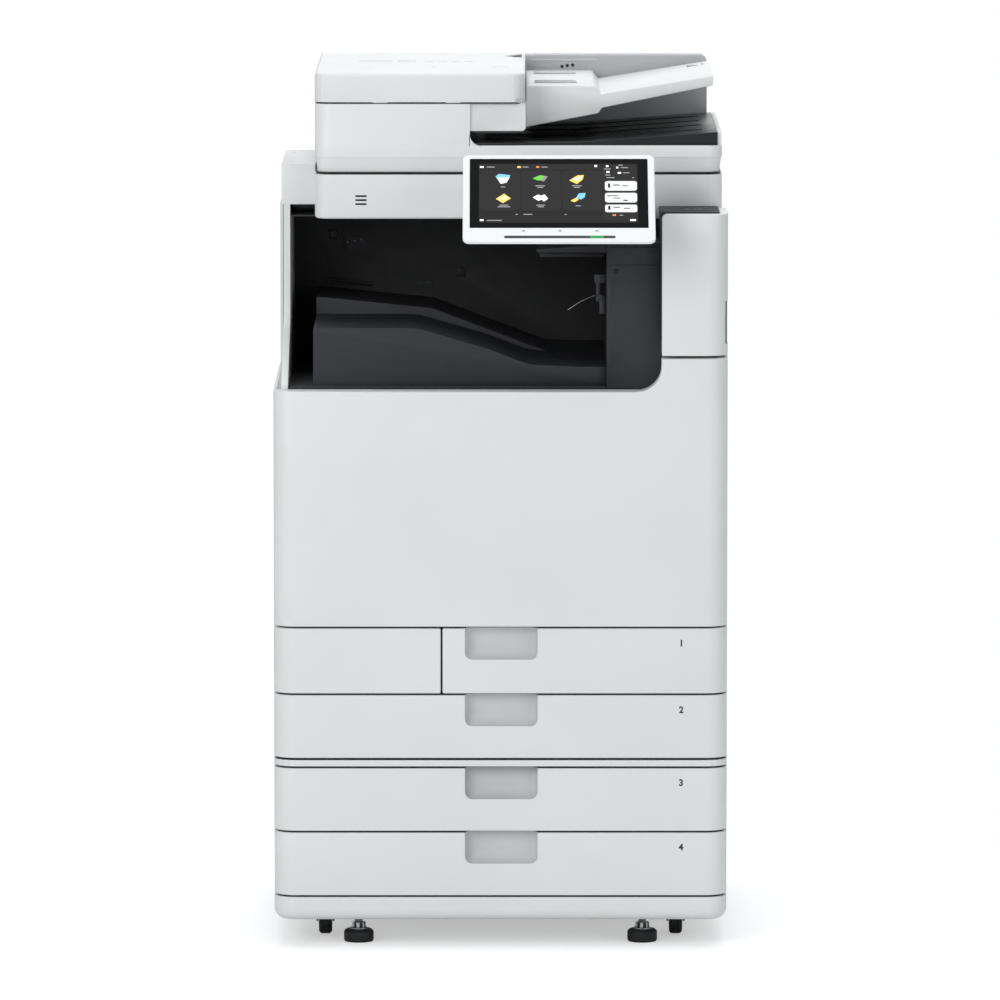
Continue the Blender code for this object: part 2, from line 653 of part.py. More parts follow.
def rotor(name, frame, centre, radius, look, start, shaft=FEED_SHAFT, sides=20):
    """A roller along the depth, with its shaft through a hole in the frame's partition."""
    end = PARTITION + FRAME_WALL + SHAFT_END
    shoulder = PARTITION - PARTITION_GAP
    profile = [(start, 0), (start, radius), (shoulder, radius), (shoulder, shaft), (end, shaft), (end, 0)]
    piece(name, turned(profile, "y", centre, sides), look, (centre[0], 0, centre[1]))
    cut(frame, rod(centre, shaft + FIT, "y", (PARTITION - OVER, PARTITION + FRAME_WALL + OVER), 16))


def build_feed_rollers(main, pedestal):
    """The feed roller over the right end of each tray, carried by the partition."""
    for number, z, height, headroom, _, room in DRAWERS:
        top = tray_floor(z) + height - headroom
        centre = (room[1] - FEED_INSET, top + FEED_RADIUS + FEED_CLEAR)
        frame = main if number < 3 else pedestal
        start = PARTITION - PARTITION_GAP - FEED_LENGTH
        rotor(f"feed_roller_{number}", frame, centre, FEED_RADIUS, RUBBER, start)


DRUM_RADIUS = 0.040
DRUM_X = -0.050
DRUM_DROP = 0.1621
TONER_RADIUS = 0.042
TONER_INSET = 0.120
TONER_DROP = 0.1071
UNIT_SHAFT = 0.006
UNIT_GAP = 0.014
FUSER_RADIUS = 0.020
FUSER_INSET = 0.098
FUSER_DROP = 0.0821
FUSER_SHAFT = 0.005
FUSER_GAP = 0.020


def build_process_unit(main):
    """Drum, toner bottle and the fuser's two rollers, carried by the partition."""
    start = FRAME_FRONT + UNIT_GAP
    drum = (DRUM_X, DECK - DRUM_DROP)
    rotor("drum_unit", main, drum, DRUM_RADIUS, DRUM, start, UNIT_SHAFT, 28)
    toner = (TONER_INSET - HALF, DECK - TONER_DROP)
    rotor("toner_bottle", main, toner, TONER_RADIUS, BLACK, start, UNIT_SHAFT, 24)
    start = FRAME_FRONT + FUSER_GAP
    heat = (HALF - FUSER_INSET, DECK - FUSER_DROP)
    rotor("heat_roller", main, heat, FUSER_RADIUS, BLACK, start, FUSER_SHAFT, 24)
    press = (heat[0] + 2 * FUSER_RADIUS + FIT, heat[1])
    rotor("pressure_roller", main, press, FUSER_RADIUS, RUBBER, start, FUSER_SHAFT, 24)


# Output bay.

BAY_INSET = 0.0195
BAY_LEFT = BAY_INSET - HALF
LINER_WALL = 0.0022
LINER_HOLES = ((0.055, 0.046), (0.235, 0.100))
HOLE_HALF = 0.006
BAY_CLEAR = 0.001
COLUMN_WIDTH = 0.0748
COLUMN_LEFT = COLUMN_X - COLUMN_WIDTH
COLUMN_DROP = 0.0259
COLUMN_TOP = SCANNER_Z - COLUMN_DROP
EXIT_DROP = 0.0484
EXIT_HEIGHT = 0.020
EXIT_SLOT = (SCANNER_Z - EXIT_DROP - EXIT_HEIGHT, SCANNER_Z - EXIT_DROP)
EXIT_START = 0.110
EXIT_END_GAP = 0.030
EXIT_Y = (FRONT + EXIT_START, BAY_BACK - EXIT_END_GAP)
EXIT_RADIUS = 0.008
EXIT_SHAFT = 0.003
ROLLER_GAP = 0.002
ROLLER_RISE = 0.004
HOOD_REACH = 0.095
HOOD_HEIGHTS = (0.003, 0.015, 0.008, 0.004)
HEADER_SET_BACK = 0.006
TRAY_INSET = 0.0345
TRAY_LEFT = BAY_LEFT + TRAY_INSET
TRAY_FRONT = SLICE_BACK + 0.014
TRAY_RAMP = (0.2594, 0.1594, 0.1064, 0.0434)
TRAY_FALLS = (0.029, 0.003)
TRAY_ROUNDS = (0, 0.004, 0.090, 0.300, 0.080, 0, 0, 0)
LEDGE_RAMP = (0.2394, 0.1104, 0.0704)
LEDGE_FALLS = (0.015, 0.012)
LEDGE_FLAT = 0.013
UNDER_RAMP = (0.2704, 0.1304)
TRAY_STEP = 0.083
LEDGE_STEP = 0.106
TRAY_LOW = 0.030
LEDGE_Y = BAY_BACK - 0.180
LEFT_SET_BACK = 0.200
LEFT_WALL = 0.009
FLARE_LOW = 0.006
FLARE_HIGH = 0.080
FLARE_ROUND = 0.040
SHELF_DEPTH = 0.268
SHELF_INSET = 0.008
SHELF_RISE = 0.0147
SHELF_LIP = 0.0095
SHELF_POCKET = 0.034
SHELF_BOTTOM = SCANNER_Z + SHELF_RISE
SHELF_TOP = SCANNER_TOP + SHELF_LIP


def build_bay_liner():
    """The dark lining of the output bay: floor, rear wall and ceiling in one bent sheet."""
    floor = DECK + FIT
    ceiling = SCANNER_Z - FIT
    front = SLICE_BACK + BAY_CLEAR
    ceiling_front = FRONT + LEFT_SET_BACK + BAY_CLEAR
    profile = [
        (front, floor), (BAY_BACK, floor), (BAY_BACK, ceiling), (ceiling_front, ceiling),
        (ceiling_front, ceiling - LINER_WALL), (BAY_BACK - LINER_WALL, ceiling - LINER_WALL),
        (BAY_BACK - LINER_WALL, floor + LINER_WALL), (front, floor + LINER_WALL),
    ]
    liner = piece("bay_liner", prism(profile, "x", (BAY_LEFT + FIT, COLUMN_LEFT - FIT)), DARK)
    wall = (BAY_BACK - LINER_WALL - OVER, BAY_BACK + OVER)
    for inset, drop in LINER_HOLES:
        hole = [grown((at,) * 2, HOLE_HALF) for at in (BAY_LEFT + inset, ceiling - drop)]
        cut(liner, box(hole[0], wall, hole[1]))


def build_output_tray():
    """The stepped tray that finished sheets land on, with a higher ledge at the back."""
    floor = DECK + 2 * FIT + LINER_WALL
    right = COLUMN_LEFT - FIT
    step = DECK + TRAY_STEP
    low = DECK + TRAY_LOW
    ramp = [right - reach for reach in TRAY_RAMP]
    bends = [
        (TRAY_LEFT, floor), (TRAY_LEFT, step), (ramp[0], step), (ramp[1], step - TRAY_FALLS[0]),
        (ramp[2], low + TRAY_FALLS[1]), (ramp[3], low), (right, low), (right, floor),
    ]
    outline = rounded(bends, TRAY_ROUNDS, 4)
    back = BAY_BACK - LINER_WALL - FIT
    tray = piece("output_tray", prism(outline, "y", (TRAY_FRONT, back)), DARK)
    top = DECK + LEDGE_STEP
    ramp = [right - reach for reach in LEDGE_RAMP]
    ledge = [
        (TRAY_LEFT, floor), (TRAY_LEFT, top), (TRAY_LEFT + LEDGE_FLAT, top), (ramp[0], top - LEDGE_FALLS[0]),
        (ramp[1], low + LEDGE_FALLS[1]), (ramp[2], low - OVER), (ramp[2], floor),
    ]
    join(tray, prism(ledge, "y", (LEDGE_Y, back)))
    under = [
        (TRAY_LEFT + SHELL, floor - OVER), (TRAY_LEFT + SHELL, step - SHELL),
        (right - UNDER_RAMP[0], step - SHELL), (right - UNDER_RAMP[1], low - OVER),
        (right - SHELL, low - SHELL), (right - SHELL, floor - OVER),
    ]
    cut(tray, prism(under, "y", grown((TRAY_FRONT, back), -SHELL)))


def build_bay_column():
    """The dark column at the bay's right, with the sheet exit, its guide and the exit roller."""
    x = (COLUMN_LEFT, COLUMN_X)
    y = (SLICE_BACK + BAY_CLEAR, BAY_BACK)
    bottom = DECK + FIT
    column = piece("bay_column", box(x, y, (bottom, COLUMN_TOP)), DARK)
    cut(column, box(grown(x, -SHELL), grown(y, -SHELL), (bottom - OVER, COLUMN_TOP - SHELL)))
    cut(column, box((x[0] - OVER, x[0] + SHELL + OVER), EXIT_Y, EXIT_SLOT))
    header = (x, (SCANNER_FRONT + HEADER_SET_BACK, BAY_BACK), (COLUMN_TOP - OVER, SCANNER_Z - FIT))
    join(column, box(*header))
    root = x[0] + OVER
    tip = x[0] - HOOD_REACH
    hood = [(at, EXIT_SLOT[1] + rise) for at, rise in zip((root, root, tip, tip), HOOD_HEIGHTS)]
    join(column, prism(hood, "y", EXIT_Y))
    centre = (x[0] + SHELL + EXIT_RADIUS + ROLLER_GAP, EXIT_SLOT[0] + ROLLER_RISE)
    ends = (y[0] + SHELL - OVER, y[1] - SHELL + OVER)
    profile = [
        (ends[0], 0), (ends[0], EXIT_SHAFT), (EXIT_Y[0], EXIT_SHAFT), (EXIT_Y[0], EXIT_RADIUS),
        (EXIT_Y[1], EXIT_RADIUS), (EXIT_Y[1], EXIT_SHAFT), (ends[1], EXIT_SHAFT), (ends[1], 0),
    ]
    piece("exit_roller", turned(profile, "y", centre, 16), RUBBER, (centre[0], 0, centre[1]))
    cut(column, rod(centre, EXIT_SHAFT + FIT, "y", grown(y, OVER), 12))


def build_left_column():
    """The bay's left wall with its flared foot, and the hollow shelf beside the scanner on top of it."""
    front = FRONT + LEFT_SET_BACK
    back = BAY_BACK
    foot = SLICE_BACK + BAY_CLEAR
    wall = [
        (back, DECK + FIT), (foot, DECK + FIT), (foot, DECK + FLARE_LOW), (front + FIT, DECK + FLARE_HIGH),
        (front + FIT, SHELF_BOTTOM + OVER), (back, SHELF_BOTTOM + OVER),
    ]
    outline = rounded(wall, [0, 0, 0, FLARE_ROUND, 0, 0])
    column = piece("left_column", prism(outline, "x", (BAY_LEFT - LEFT_WALL, BAY_LEFT)), WHITE)
    x = (SHELF_INSET - HALF, SCANNER_X[0] - FIT * 2)
    y = (front, front + SHELF_DEPTH)
    join(column, box(x, y, (SHELF_BOTTOM, SHELF_TOP)))
    cavity = (SCANNER_X[0] - SHELF_POCKET, SCANNER_X[0] - SHELL)
    cut(column, box(cavity, grown(y, -SHELL), (SHELF_BOTTOM - OVER, SHELF_TOP - SHELL)))


# Scanner and right top cover.

CARRIAGE_WIDTH = 0.040
CARRIAGE_HEIGHT = 0.030
LEDGE = 0.006
GLASS_BIAS = 0.157
GLASS_SLACK = SCANNER_X[1] - SCANNER_X[0] - GLASS_WIDTH
GLASS_X = (SCANNER_X[0] + SCANNER_X[1]) / 2 + GLASS_BIAS * GLASS_SLACK
GLASS_INSET = 0.025
GLASS_Y = SCANNER_FRONT + GLASS_INSET
GLASS_SPAN = ((GLASS_X - GLASS_WIDTH / 2, GLASS_X + GLASS_WIDTH / 2), (GLASS_Y, GLASS_Y + GLASS_DEPTH))
HINGE_BLOCK = 0.050
HINGE_BLOCK_INSET = 0.020
HINGE_BLOCK_Y = (REAR - 0.030, REAR - 0.001)
SIDE_ROUND = 0.006
CARRIAGE_GAP = 0.004
GROOVE_HALF = 0.003
GROOVE_END = 0.008
GROOVE_DEPTH = 0.008


def build_scanner():
    """The scanner housing, its platen glass and the carriage that travels under it."""
    plan = rounded(rectangle(SCANNER_X, (SCANNER_FRONT, REAR)), [FEEDER_CORNER] + [SIDE_ROUND] * 3)
    housing = piece("scanner_housing", prism(plan, "z", (SCANNER_Z, SCANNER_TOP)), WHITE)
    well = [grown(span, -LEDGE) for span in GLASS_SPAN]
    floor = SCANNER_Z + SHELL
    seat = SCANNER_TOP - GLASS_THICK - FIT
    cut(housing, box(*well, (floor, SCANNER_TOP + OVER)))
    cut(housing, box(*[grown(span, FIT) for span in GLASS_SPAN], (seat, SCANNER_TOP + OVER)))
    for x in (SCANNER_X[0] + HINGE_BLOCK_INSET, SCANNER_X[1] - HINGE_BLOCK_INSET - HINGE_BLOCK):
        join(housing, box((x, x + HINGE_BLOCK), HINGE_BLOCK_Y, (SCANNER_TOP - OVER, FEEDER_Z - FIT)))
    piece("platen_glass", box(*GLASS_SPAN, (seat + FIT, SCANNER_TOP)), CLEAR)
    start = well[0][0] + CARRIAGE_GAP
    carriage_x = (start, start + CARRIAGE_WIDTH)
    height = (floor + FIT, floor + FIT + CARRIAGE_HEIGHT)
    carriage = piece("scan_carriage", box(carriage_x, grown(well[1], -FIT), height), BLACK, (start, 0, floor))
    groove = grown((start + CARRIAGE_WIDTH / 2,) * 2, GROOVE_HALF)
    cut(carriage, box(groove, grown(well[1], -GROOVE_END), (height[1] - GROOVE_DEPTH, height[1] + OVER)))


RECESS_WIDTH = 0.011
RECESS_RISE = 0.0645
RECESS_HEIGHT = 0.058
RECESS_Z = (DECK + RECESS_RISE, DECK + RECESS_RISE + RECESS_HEIGHT)
RECESS_DEPTH = 0.046
COVER_RISE = 0.018
INNER_ROUND = 0.006
INLAY_HEIGHT = 0.0022
INLAY_INSET = 0.004
INLAY_EDGE = 0.010
INLAY_ROUND = 0.016
LEVER_GAP = 0.0008
LEVER_SINK = 0.0010
LEVER_TIP = (0.016, 0.026)
LEVER_BEVEL = 0.004
LEVER_AXIS = 0.0025
LATCH_HINGE = (HALF - LEVER_AXIS, FRONT + RECESS_DEPTH - LEVER_AXIS, 0)


def build_right_top_cover():
    """The cover at the right of the bay, with its raised inlay and the recess of the door latch."""
    z = (DECK + COVER_EAR + SEAM / 2, SCANNER_Z + COVER_RISE - INLAY_HEIGHT)
    x = (COLUMN_X + FIT, HALF)
    back = SCANNER_FRONT - FIT
    plan = rounded(rectangle(x, (FRONT, back)), [INNER_ROUND, CORNER, 0, 0])
    cover = piece("right_top_cover", prism(plan, "z", z), WHITE)
    inner = rectangle((x[0] + SHELL, x[1] - RECESS_WIDTH - SHELL), (FRONT + FACE_THICK, back + OVER))
    cut(cover, prism(rounded(inner, [SHELL, INLAY_ROUND, 0, 0]), "z", grown(z, -SHELL)))
    inlay = rectangle((x[0] - OVER, x[1] - INLAY_EDGE), (FRONT + INLAY_INSET, back))
    inlay = rounded(inlay, [INLAY_INSET, INLAY_ROUND, 0, 0])
    join(cover, prism(inlay, "z", (z[1] - OVER / 2, z[1] + INLAY_HEIGHT)))
    depth = (FRONT - OVER, FRONT + RECESS_DEPTH)
    cut(cover, box((HALF - RECESS_WIDTH, HALF + OVER), depth, RECESS_Z))
    inner_side = HALF - RECESS_WIDTH + FIT
    outer_side = HALF - LEVER_SINK
    rear = depth[1] - LEVER_GAP
    tip = [FRONT + reach for reach in LEVER_TIP]
    lever = [
        (inner_side, rear), (outer_side, rear), (outer_side, tip[1]), (inner_side + LEVER_BEVEL, tip[0]),
        (inner_side, tip[0]),
    ]
    piece("door_latch", prism(lever, "z", grown(RECESS_Z, -FIT)), PALE, LATCH_HINGE)


BYPASS_FRONT = 0.015
BYPASS_REAR = 0.069
BYPASS_RISE = 0.035
BYPASS_DROP = 0.070
BYPASS_Y = (DOOR_Y[0] + BYPASS_FRONT, DOOR_Y[1] - BYPASS_REAR)
BYPASS_Z = (DOOR_Z[0] + BYPASS_RISE, DOOR_Z[1] - BYPASS_DROP)
BYPASS_THICK = 0.008
BYPASS_TOP_GAP = 0.001
GRIP_HALF = 0.040
GRIP_HEIGHT = 0.018
EDGE_AXIS = 0.0015
DOOR_HINGE = (HALF - EDGE_AXIS, DOOR_Y[1] - EDGE_AXIS, 0)
BYPASS_HINGE = (HALF - EDGE_AXIS, 0, BYPASS_Z[0] + EDGE_AXIS)


def build_right_door():
    """The door over the paper path, and the bypass tray folded into its face."""
    door = piece("right_door", box((HALF - DOOR_THICK, HALF), DOOR_Y, DOOR_Z), WHITE, DOOR_HINGE)
    recess = (HALF - BYPASS_THICK - 2 * FIT, HALF + OVER)
    cut(door, box(recess, grown(BYPASS_Y, FIT), (BYPASS_Z[0] - 2 * FIT, BYPASS_Z[1] + BYPASS_TOP_GAP)))
    grip = grown((sum(BYPASS_Y) / 2,) * 2, GRIP_HALF)
    cut(door, box(recess, grip, (BYPASS_Z[1], BYPASS_Z[1] + GRIP_HEIGHT)))
    tray = (HALF - BYPASS_THICK - FIT, HALF - FIT)
    piece("bypass_tray", box(tray, BYPASS_Y, BYPASS_Z), WHITE, BYPASS_HINGE)


# Document feeder.

CATCH_WALL = 0.006
OVERHANG = 0.0385
REAR_HOUSING = 0.045
HOUSING_ROUND = 0.010
HOUSING_INSET = 0.012
TOP_GAP = 0.001
INPUT_FRONT_GAP = 0.075
INPUT_REAR_GAP = 0.011
INPUT_Y = (SCANNER_FRONT + INPUT_FRONT_GAP, REAR - REAR_HOUSING - INPUT_REAR_GAP)
COVER_GAP = 0.001
INPUT_INSET = 0.011
INPUT_X = (COVER_X[1] + COVER_GAP, SCANNER_X[1] - INPUT_INSET)
INPUT_DROP = 0.0215
INPUT_TOP = TOP - INPUT_DROP
WEDGE_LENGTH = 0.094
WEDGE_POINTS = ((0.006, -0.019), (0.011, -0.0115), (0.009, 0.008))
TRAY_END = (0.0195, 0.033)
INPUT_AXIS = 0.0015
SLOT_HEIGHT = 0.012
GUIDE_THICK = 0.002
GUIDE_HEIGHT = 0.018
GUIDE_INSET = 0.012
GUIDE_LENGTH = 0.060
GUIDE_X = (INPUT_X[0] + GUIDE_INSET, INPUT_X[0] + GUIDE_INSET + GUIDE_LENGTH)
GUIDE_FOOT = 0.024
GUIDE_MARGIN = 0.060
PICKUP_RADIUS = 0.012
PICKUP_HALF = 0.030
PICKUP_SHAFT = 0.003
PICKUP_PLACE = (0.030, 0.018)
FEED_PLACE = (0.075, 0.022)
BLOCK_ROUND = 0.018
OVERHANG_FRONT = 0.006
OVERHANG_REAR = 0.010
OVERHANG_PAST = 0.0005
BASE_RIM = 0.014
BASE_REAR = 0.040
BASE_PLATE = 0.012
BLOCK_SINK = 0.006
SHEET_SLOT = (0.001, 0.018)
CATCH_FRONT = 0.020
CATCH_RIM = 0.018
CATCH_GAP = 0.016
CATCH_HEIGHTS = (0.003, 0.004, 0.018)
CATCH_BEND = 0.150
LID_EDGE = 0.004
LID_AXIS = 0.002
TONGUES = (0.080, 0.180)
TONGUE_WIDTH = 0.020
TONGUE_INSET = 0.0005


def build_feeder_base():
    """The platen cover: a plate with a hollow block at its left that holds the feed path."""
    radii = [FEEDER_CORNER] + [SIDE_ROUND] * 3
    plan = rounded(rectangle(SCANNER_X, (SCANNER_FRONT, REAR)), radii)
    base = piece("adf_base", prism(plan, "z", (FEEDER_Z, BASE_TOP)), WHITE, (0, REAR, FEEDER_Z))
    block = rectangle((BLOCK_X[0] + FIT, BLOCK_X[1]), grown((SCANNER_FRONT, REAR), -FIT))
    block = rounded(block, [FEEDER_CORNER, 0, 0, SIDE_ROUND])
    join(base, prism(block, "z", (BASE_TOP - OVER, BLOCK_TOP)))
    over_x = (BLOCK_X[1] - OVER, COVER_X[1] + OVERHANG_PAST)
    over_y = (SCANNER_FRONT + OVERHANG_FRONT, REAR - REAR_HOUSING - OVERHANG_REAR)
    join(base, box(over_x, over_y, (BLOCK_TOP - OVERHANG, BLOCK_TOP)))
    hollow = (SCANNER_FRONT + SHELL, REAR - SHELL)
    inner = rounded(rectangle((BLOCK_X[0] + SHELL, BLOCK_X[1] - SHELL), hollow), [BLOCK_ROUND, 0, 0, 0])
    cut(base, prism(inner, "z", (BASE_TOP - BLOCK_SINK, BLOCK_TOP + OVER)))
    well = ((BLOCK_X[1] - 2 * SHELL, over_x[1] - SHELL), grown(over_y, -SHELL))
    cut(base, box(*well, (BLOCK_TOP - OVERHANG + SHELL, BLOCK_TOP + OVER)))
    under = (SCANNER_FRONT + BASE_RIM, REAR - BASE_REAR)
    cut(base, box(grown(SCANNER_X, -BASE_RIM), under, (FEEDER_Z - OVER, BASE_TOP - BASE_PLATE)))
    exit_slot = [BASE_TOP + rise for rise in SHEET_SLOT]
    cut(base, box((BLOCK_X[1] - 2 * SHELL, BLOCK_X[1] + OVER), under, exit_slot))
    rim = (SCANNER_X[1] - CATCH_WALL, SCANNER_X[1] - FIT)
    along = (SCANNER_FRONT + CATCH_FRONT, REAR - REAR_HOUSING)
    join(base, box(rim, along, (BASE_TOP - OVER, BASE_TOP + CATCH_RIM)))
    return base


def build_feeder_cover():
    """The hinged lid over the feed rollers."""
    pivot = (COVER_X[0] + LID_AXIS, 0, COVER_Z + LID_AXIS)
    radii = [FEEDER_CORNER, FEEDER_CORNER, SIDE_ROUND, SIDE_ROUND]
    plan = rounded(rectangle(COVER_X, (SCANNER_FRONT, REAR)), radii)
    shell = prism(plan, "z", (COVER_Z, TOP))
    shell = softened(shell, lambda point: point.z > TOP - FIT, LID_EDGE, 2)
    cover = piece("adf_feeder_cover", shell, WHITE, pivot)
    inner = rectangle(grown(COVER_X, -SHELL), (SCANNER_FRONT + SHELL, REAR - SHELL))
    inner = rounded(inner, [BLOCK_ROUND, BLOCK_ROUND, 0, 0])
    cut(cover, prism(inner, "z", (COVER_Z - OVER, TOP - SHELL)))
    slot = (COVER_Z - OVER, INPUT_TOP + SLOT_HEIGHT)
    cut(cover, box((COVER_X[1] - 2 * SHELL, COVER_X[1] + OVER), INPUT_Y, slot))
    along = (SCANNER_FRONT + TONGUE_INSET, SCANNER_FRONT + SHELL + OVER)
    for inset in TONGUES:
        x = COVER_X[0] + inset
        join(cover, box((x, x + TONGUE_WIDTH), along, (BLOCK_TOP + FIT, COVER_Z + OVER)))


def build_feeder_trays():
    """Rear housing, catch tray, input tray and its two document guides."""
    x = (COVER_X[1] + COVER_GAP, SCANNER_X[1] - HOUSING_INSET)
    y = (REAR - REAR_HOUSING, REAR)
    outline = rounded(rectangle(x, (BASE_TOP + FIT, TOP - TOP_GAP)), [0, 0, HOUSING_ROUND, 0])
    housing = piece("adf_rear_housing", prism(outline, "y", y), PALE)
    inside = (BASE_TOP + FIT - OVER, TOP - TOP_GAP - SHELL)
    cut(housing, box(grown(x, -SHELL), grown(y, -SHELL), inside))
    left = BLOCK_X[1] + FIT
    right = SCANNER_X[1] - CATCH_WALL - FIT
    floor = BASE_TOP + FIT
    start, bend, end = [floor + height for height in CATCH_HEIGHTS]
    slope = [(left, floor), (left, start), (left + CATCH_BEND, bend), (right, end), (right, floor)]
    tray = (SCANNER_FRONT + CATCH_GAP, REAR - REAR_HOUSING - FIT)
    piece("adf_catch_tray", prism(slope, "y", tray), BLACK)
    build_input_tray()


def build_input_tray():
    """The sloping tray that originals lie on, hinged at its left end, with a pair of guides."""
    left = INPUT_X[0]
    right = INPUT_X[1]
    wedge = left + WEDGE_LENGTH
    pivot = (left + INPUT_AXIS, 0, INPUT_TOP - INPUT_AXIS)
    under, lip, slope = [(wedge + reach, BLOCK_TOP + rise) for reach, rise in WEDGE_POINTS]
    low, high = [BLOCK_TOP + rise for rise in TRAY_END]
    outline = [
        (left, BLOCK_TOP - OVERHANG + OVERHANG_PAST), under, lip, (right, low), (right, high), slope,
        (wedge, INPUT_TOP), (left, INPUT_TOP),
    ]
    tray = piece("adf_input_tray", prism(outline, "y", INPUT_Y), WHITE, pivot)
    cavity = [
        (left + SHELL, BLOCK_TOP - OVERHANG - OVER), (wedge, BLOCK_TOP - OVERHANG - OVER),
        (wedge, INPUT_TOP - SHELL), (left + SHELL, INPUT_TOP - SHELL),
    ]
    cut(tray, prism(cavity, "y", grown(INPUT_Y, -SHELL)))
    middle = sum(INPUT_Y) / 2
    spread = (INPUT_Y[1] - INPUT_Y[0]) / 2 - GUIDE_MARGIN
    for name, side in (("guide_front", -1), ("guide_rear", 1)):
        y = middle + side * spread
        foot = sorted((y, y - side * GUIDE_FOOT))
        plate = sorted((y, y + side * GUIDE_THICK))
        low = INPUT_TOP + FIT
        guide = piece(name, box(GUIDE_X, (min(foot[0], plate[0]), max(foot[1], plate[1])),
                                (low, low + GUIDE_THICK)), PALE, (GUIDE_X[0], y, low))
        join(guide, box(GUIDE_X, plate, (low + GUIDE_THICK / 2, low + GUIDE_HEIGHT)))


def build_feeder_rollers(base):
    """Pickup and separation rollers, carried across the block by its front and rear walls."""
    ends = (SCANNER_FRONT + SHELL, REAR - SHELL)
    middle = sum(INPUT_Y) / 2
    shaft = grown(ends, OVER)
    rubber = grown((middle, middle), PICKUP_HALF)
    for name, (inset, drop) in (("adf_pickup_roller", PICKUP_PLACE), ("adf_feed_roller", FEED_PLACE)):
        centre = (BLOCK_X[1] - inset, BLOCK_TOP - drop)
        profile = [
            (shaft[0], 0), (shaft[0], PICKUP_SHAFT), (rubber[0], PICKUP_SHAFT), (rubber[0], PICKUP_RADIUS),
            (rubber[1], PICKUP_RADIUS), (rubber[1], PICKUP_SHAFT), (shaft[1], PICKUP_SHAFT), (shaft[1], 0),
        ]
        piece(name, turned(profile, "y", centre, 16), RUBBER, (centre[0], 0, centre[1]))
        cut(base, rod(centre, PICKUP_SHAFT + FIT, "y", grown(ends, SHELL - TONGUE_INSET), 12))


# Panel.

PANEL_FRONT = FRONT - PANEL_REACH + PANEL_LENGTH / 2 * math.sin(PANEL_TILT)
PANEL_CENTRE = Vector((HALF - PANEL_INSET, PANEL_FRONT, SCANNER_Z + PANEL_RISE))
PANEL_CORNER = 0.009
ARM_WIDTH = 0.080
ARM_CHEEK = 0.012
PIN_RADIUS = 0.004
BOSS = 0.009
BOSS_BACK = 0.008
PIN_GAP = 0.0105
PIN_DEPTH = PANEL_THICK + PIN_GAP
SCREEN_SINK = 0.0002
ARM_NECK = 0.050
FORK_ROOM = (0.020, 0.026)
ARM_HEIGHTS = (0.016, 0.010, 0.008, 0, -0.008, -0.012, -0.014)
ARM_NOSE = 0.007
ARM_ROUNDS = (0, 0.020, 0.006, 0.004, 0.006, 0.020, 0)


def panel_matrix():
    """From panel coordinates (across, up the face, out of the face) to the world."""
    across = Vector((1, 0, 0))
    upward = Vector((0, math.sin(PANEL_TILT), math.cos(PANEL_TILT)))
    outward = across.cross(upward)
    matrix = Matrix((across, upward, outward)).transposed().to_4x4()
    return Matrix.Translation(PANEL_CENTRE) @ matrix


def on_panel(mesh):
    """A mesh in panel coordinates, moved to its place."""
    mesh.transform(panel_matrix())
    return mesh


def build_panel():
    """The tilting touch panel: housing with a boss on the arm's pin, and the screen in its recess."""
    pin = panel_matrix() @ Vector((0, 0, -PIN_DEPTH))
    half = (PANEL_WIDTH / 2, PANEL_LENGTH / 2)
    face = rounded(rectangle((-half[0], half[0]), (-half[1], half[1])), [PANEL_CORNER] * 4, 4)
    housing = piece("panel_housing", on_panel(prism(face, "z", (-PANEL_THICK, 0))), WHITE, pin)
    top = half[1] - SCREEN_MARGIN
    screen = ((-SCREEN_WIDTH / 2, SCREEN_WIDTH / 2), (top - SCREEN_LENGTH, top))
    cut(housing, on_panel(box(*[grown(span, FIT) for span in screen], (-SCREEN_THICK - FIT, OVER))))
    knuckle = ARM_WIDTH / 2 - ARM_CHEEK - FIT
    boss = (-PIN_DEPTH - BOSS_BACK, OVER - PANEL_THICK)
    join(housing, on_panel(box((-knuckle, knuckle), (-BOSS, BOSS), boss)))
    bore = circle((pin.y, pin.z), PIN_RADIUS + FIT, 16)
    cut(housing, prism(bore, "x", (PANEL_CENTRE.x - knuckle - OVER, PANEL_CENTRE.x + knuckle + OVER)))
    piece("panel_screen", on_panel(box(*screen, (-SCREEN_THICK, -SCREEN_SINK))), GLASS, pin)
    build_panel_arm(pin)


def build_panel_arm(pin):
    """The bracket from the scanner's front to the panel's pin."""
    span = (PANEL_CENTRE.x - ARM_WIDTH / 2, PANEL_CENTRE.x + ARM_WIDTH / 2)
    back = SCANNER_FRONT - FIT
    neck = pin.y + ARM_NECK
    along = (back, neck, pin.y, pin.y - ARM_NOSE, pin.y, neck, back)
    outline = [(at, pin.z + height) for at, height in zip(along, ARM_HEIGHTS)]
    outline = rounded(outline, ARM_ROUNDS, 3)
    arm = piece("panel_arm", prism(outline, "x", span), PALE)
    fork = grown(span, -ARM_CHEEK)
    room = (pin.y - FORK_ROOM[0], pin.y + FORK_ROOM[1])
    cut(arm, box(fork, room, grown((pin.z, pin.z), FORK_ROOM[1])))
    join(arm, rod((pin.y, pin.z), PIN_RADIUS, "x", grown(fork, OVER), 16))


def main():
    """Clear the scene and build the copier from the floor up."""
    for obj in list(bpy.data.objects):
        bpy.data.objects.remove(obj, do_unlink=True)
    build_skirt()
    build_casters()
    build_feet()
    pedestal = build_pedestal()
    frame = build_main_frame()
    build_side_covers()
    build_inlet()
    build_front_cover()
    build_waste_door()
    build_drawers()
    build_feed_rollers(frame, pedestal)
    build_process_unit(frame)
    build_bay_liner()
    build_output_tray()
    build_bay_column()
    build_left_column()
    build_scanner()
    build_right_top_cover()
    build_right_door()
    base = build_feeder_base()
    build_feeder_cover()
    build_feeder_trays()
    build_feeder_rollers(base)
    build_panel()


main()
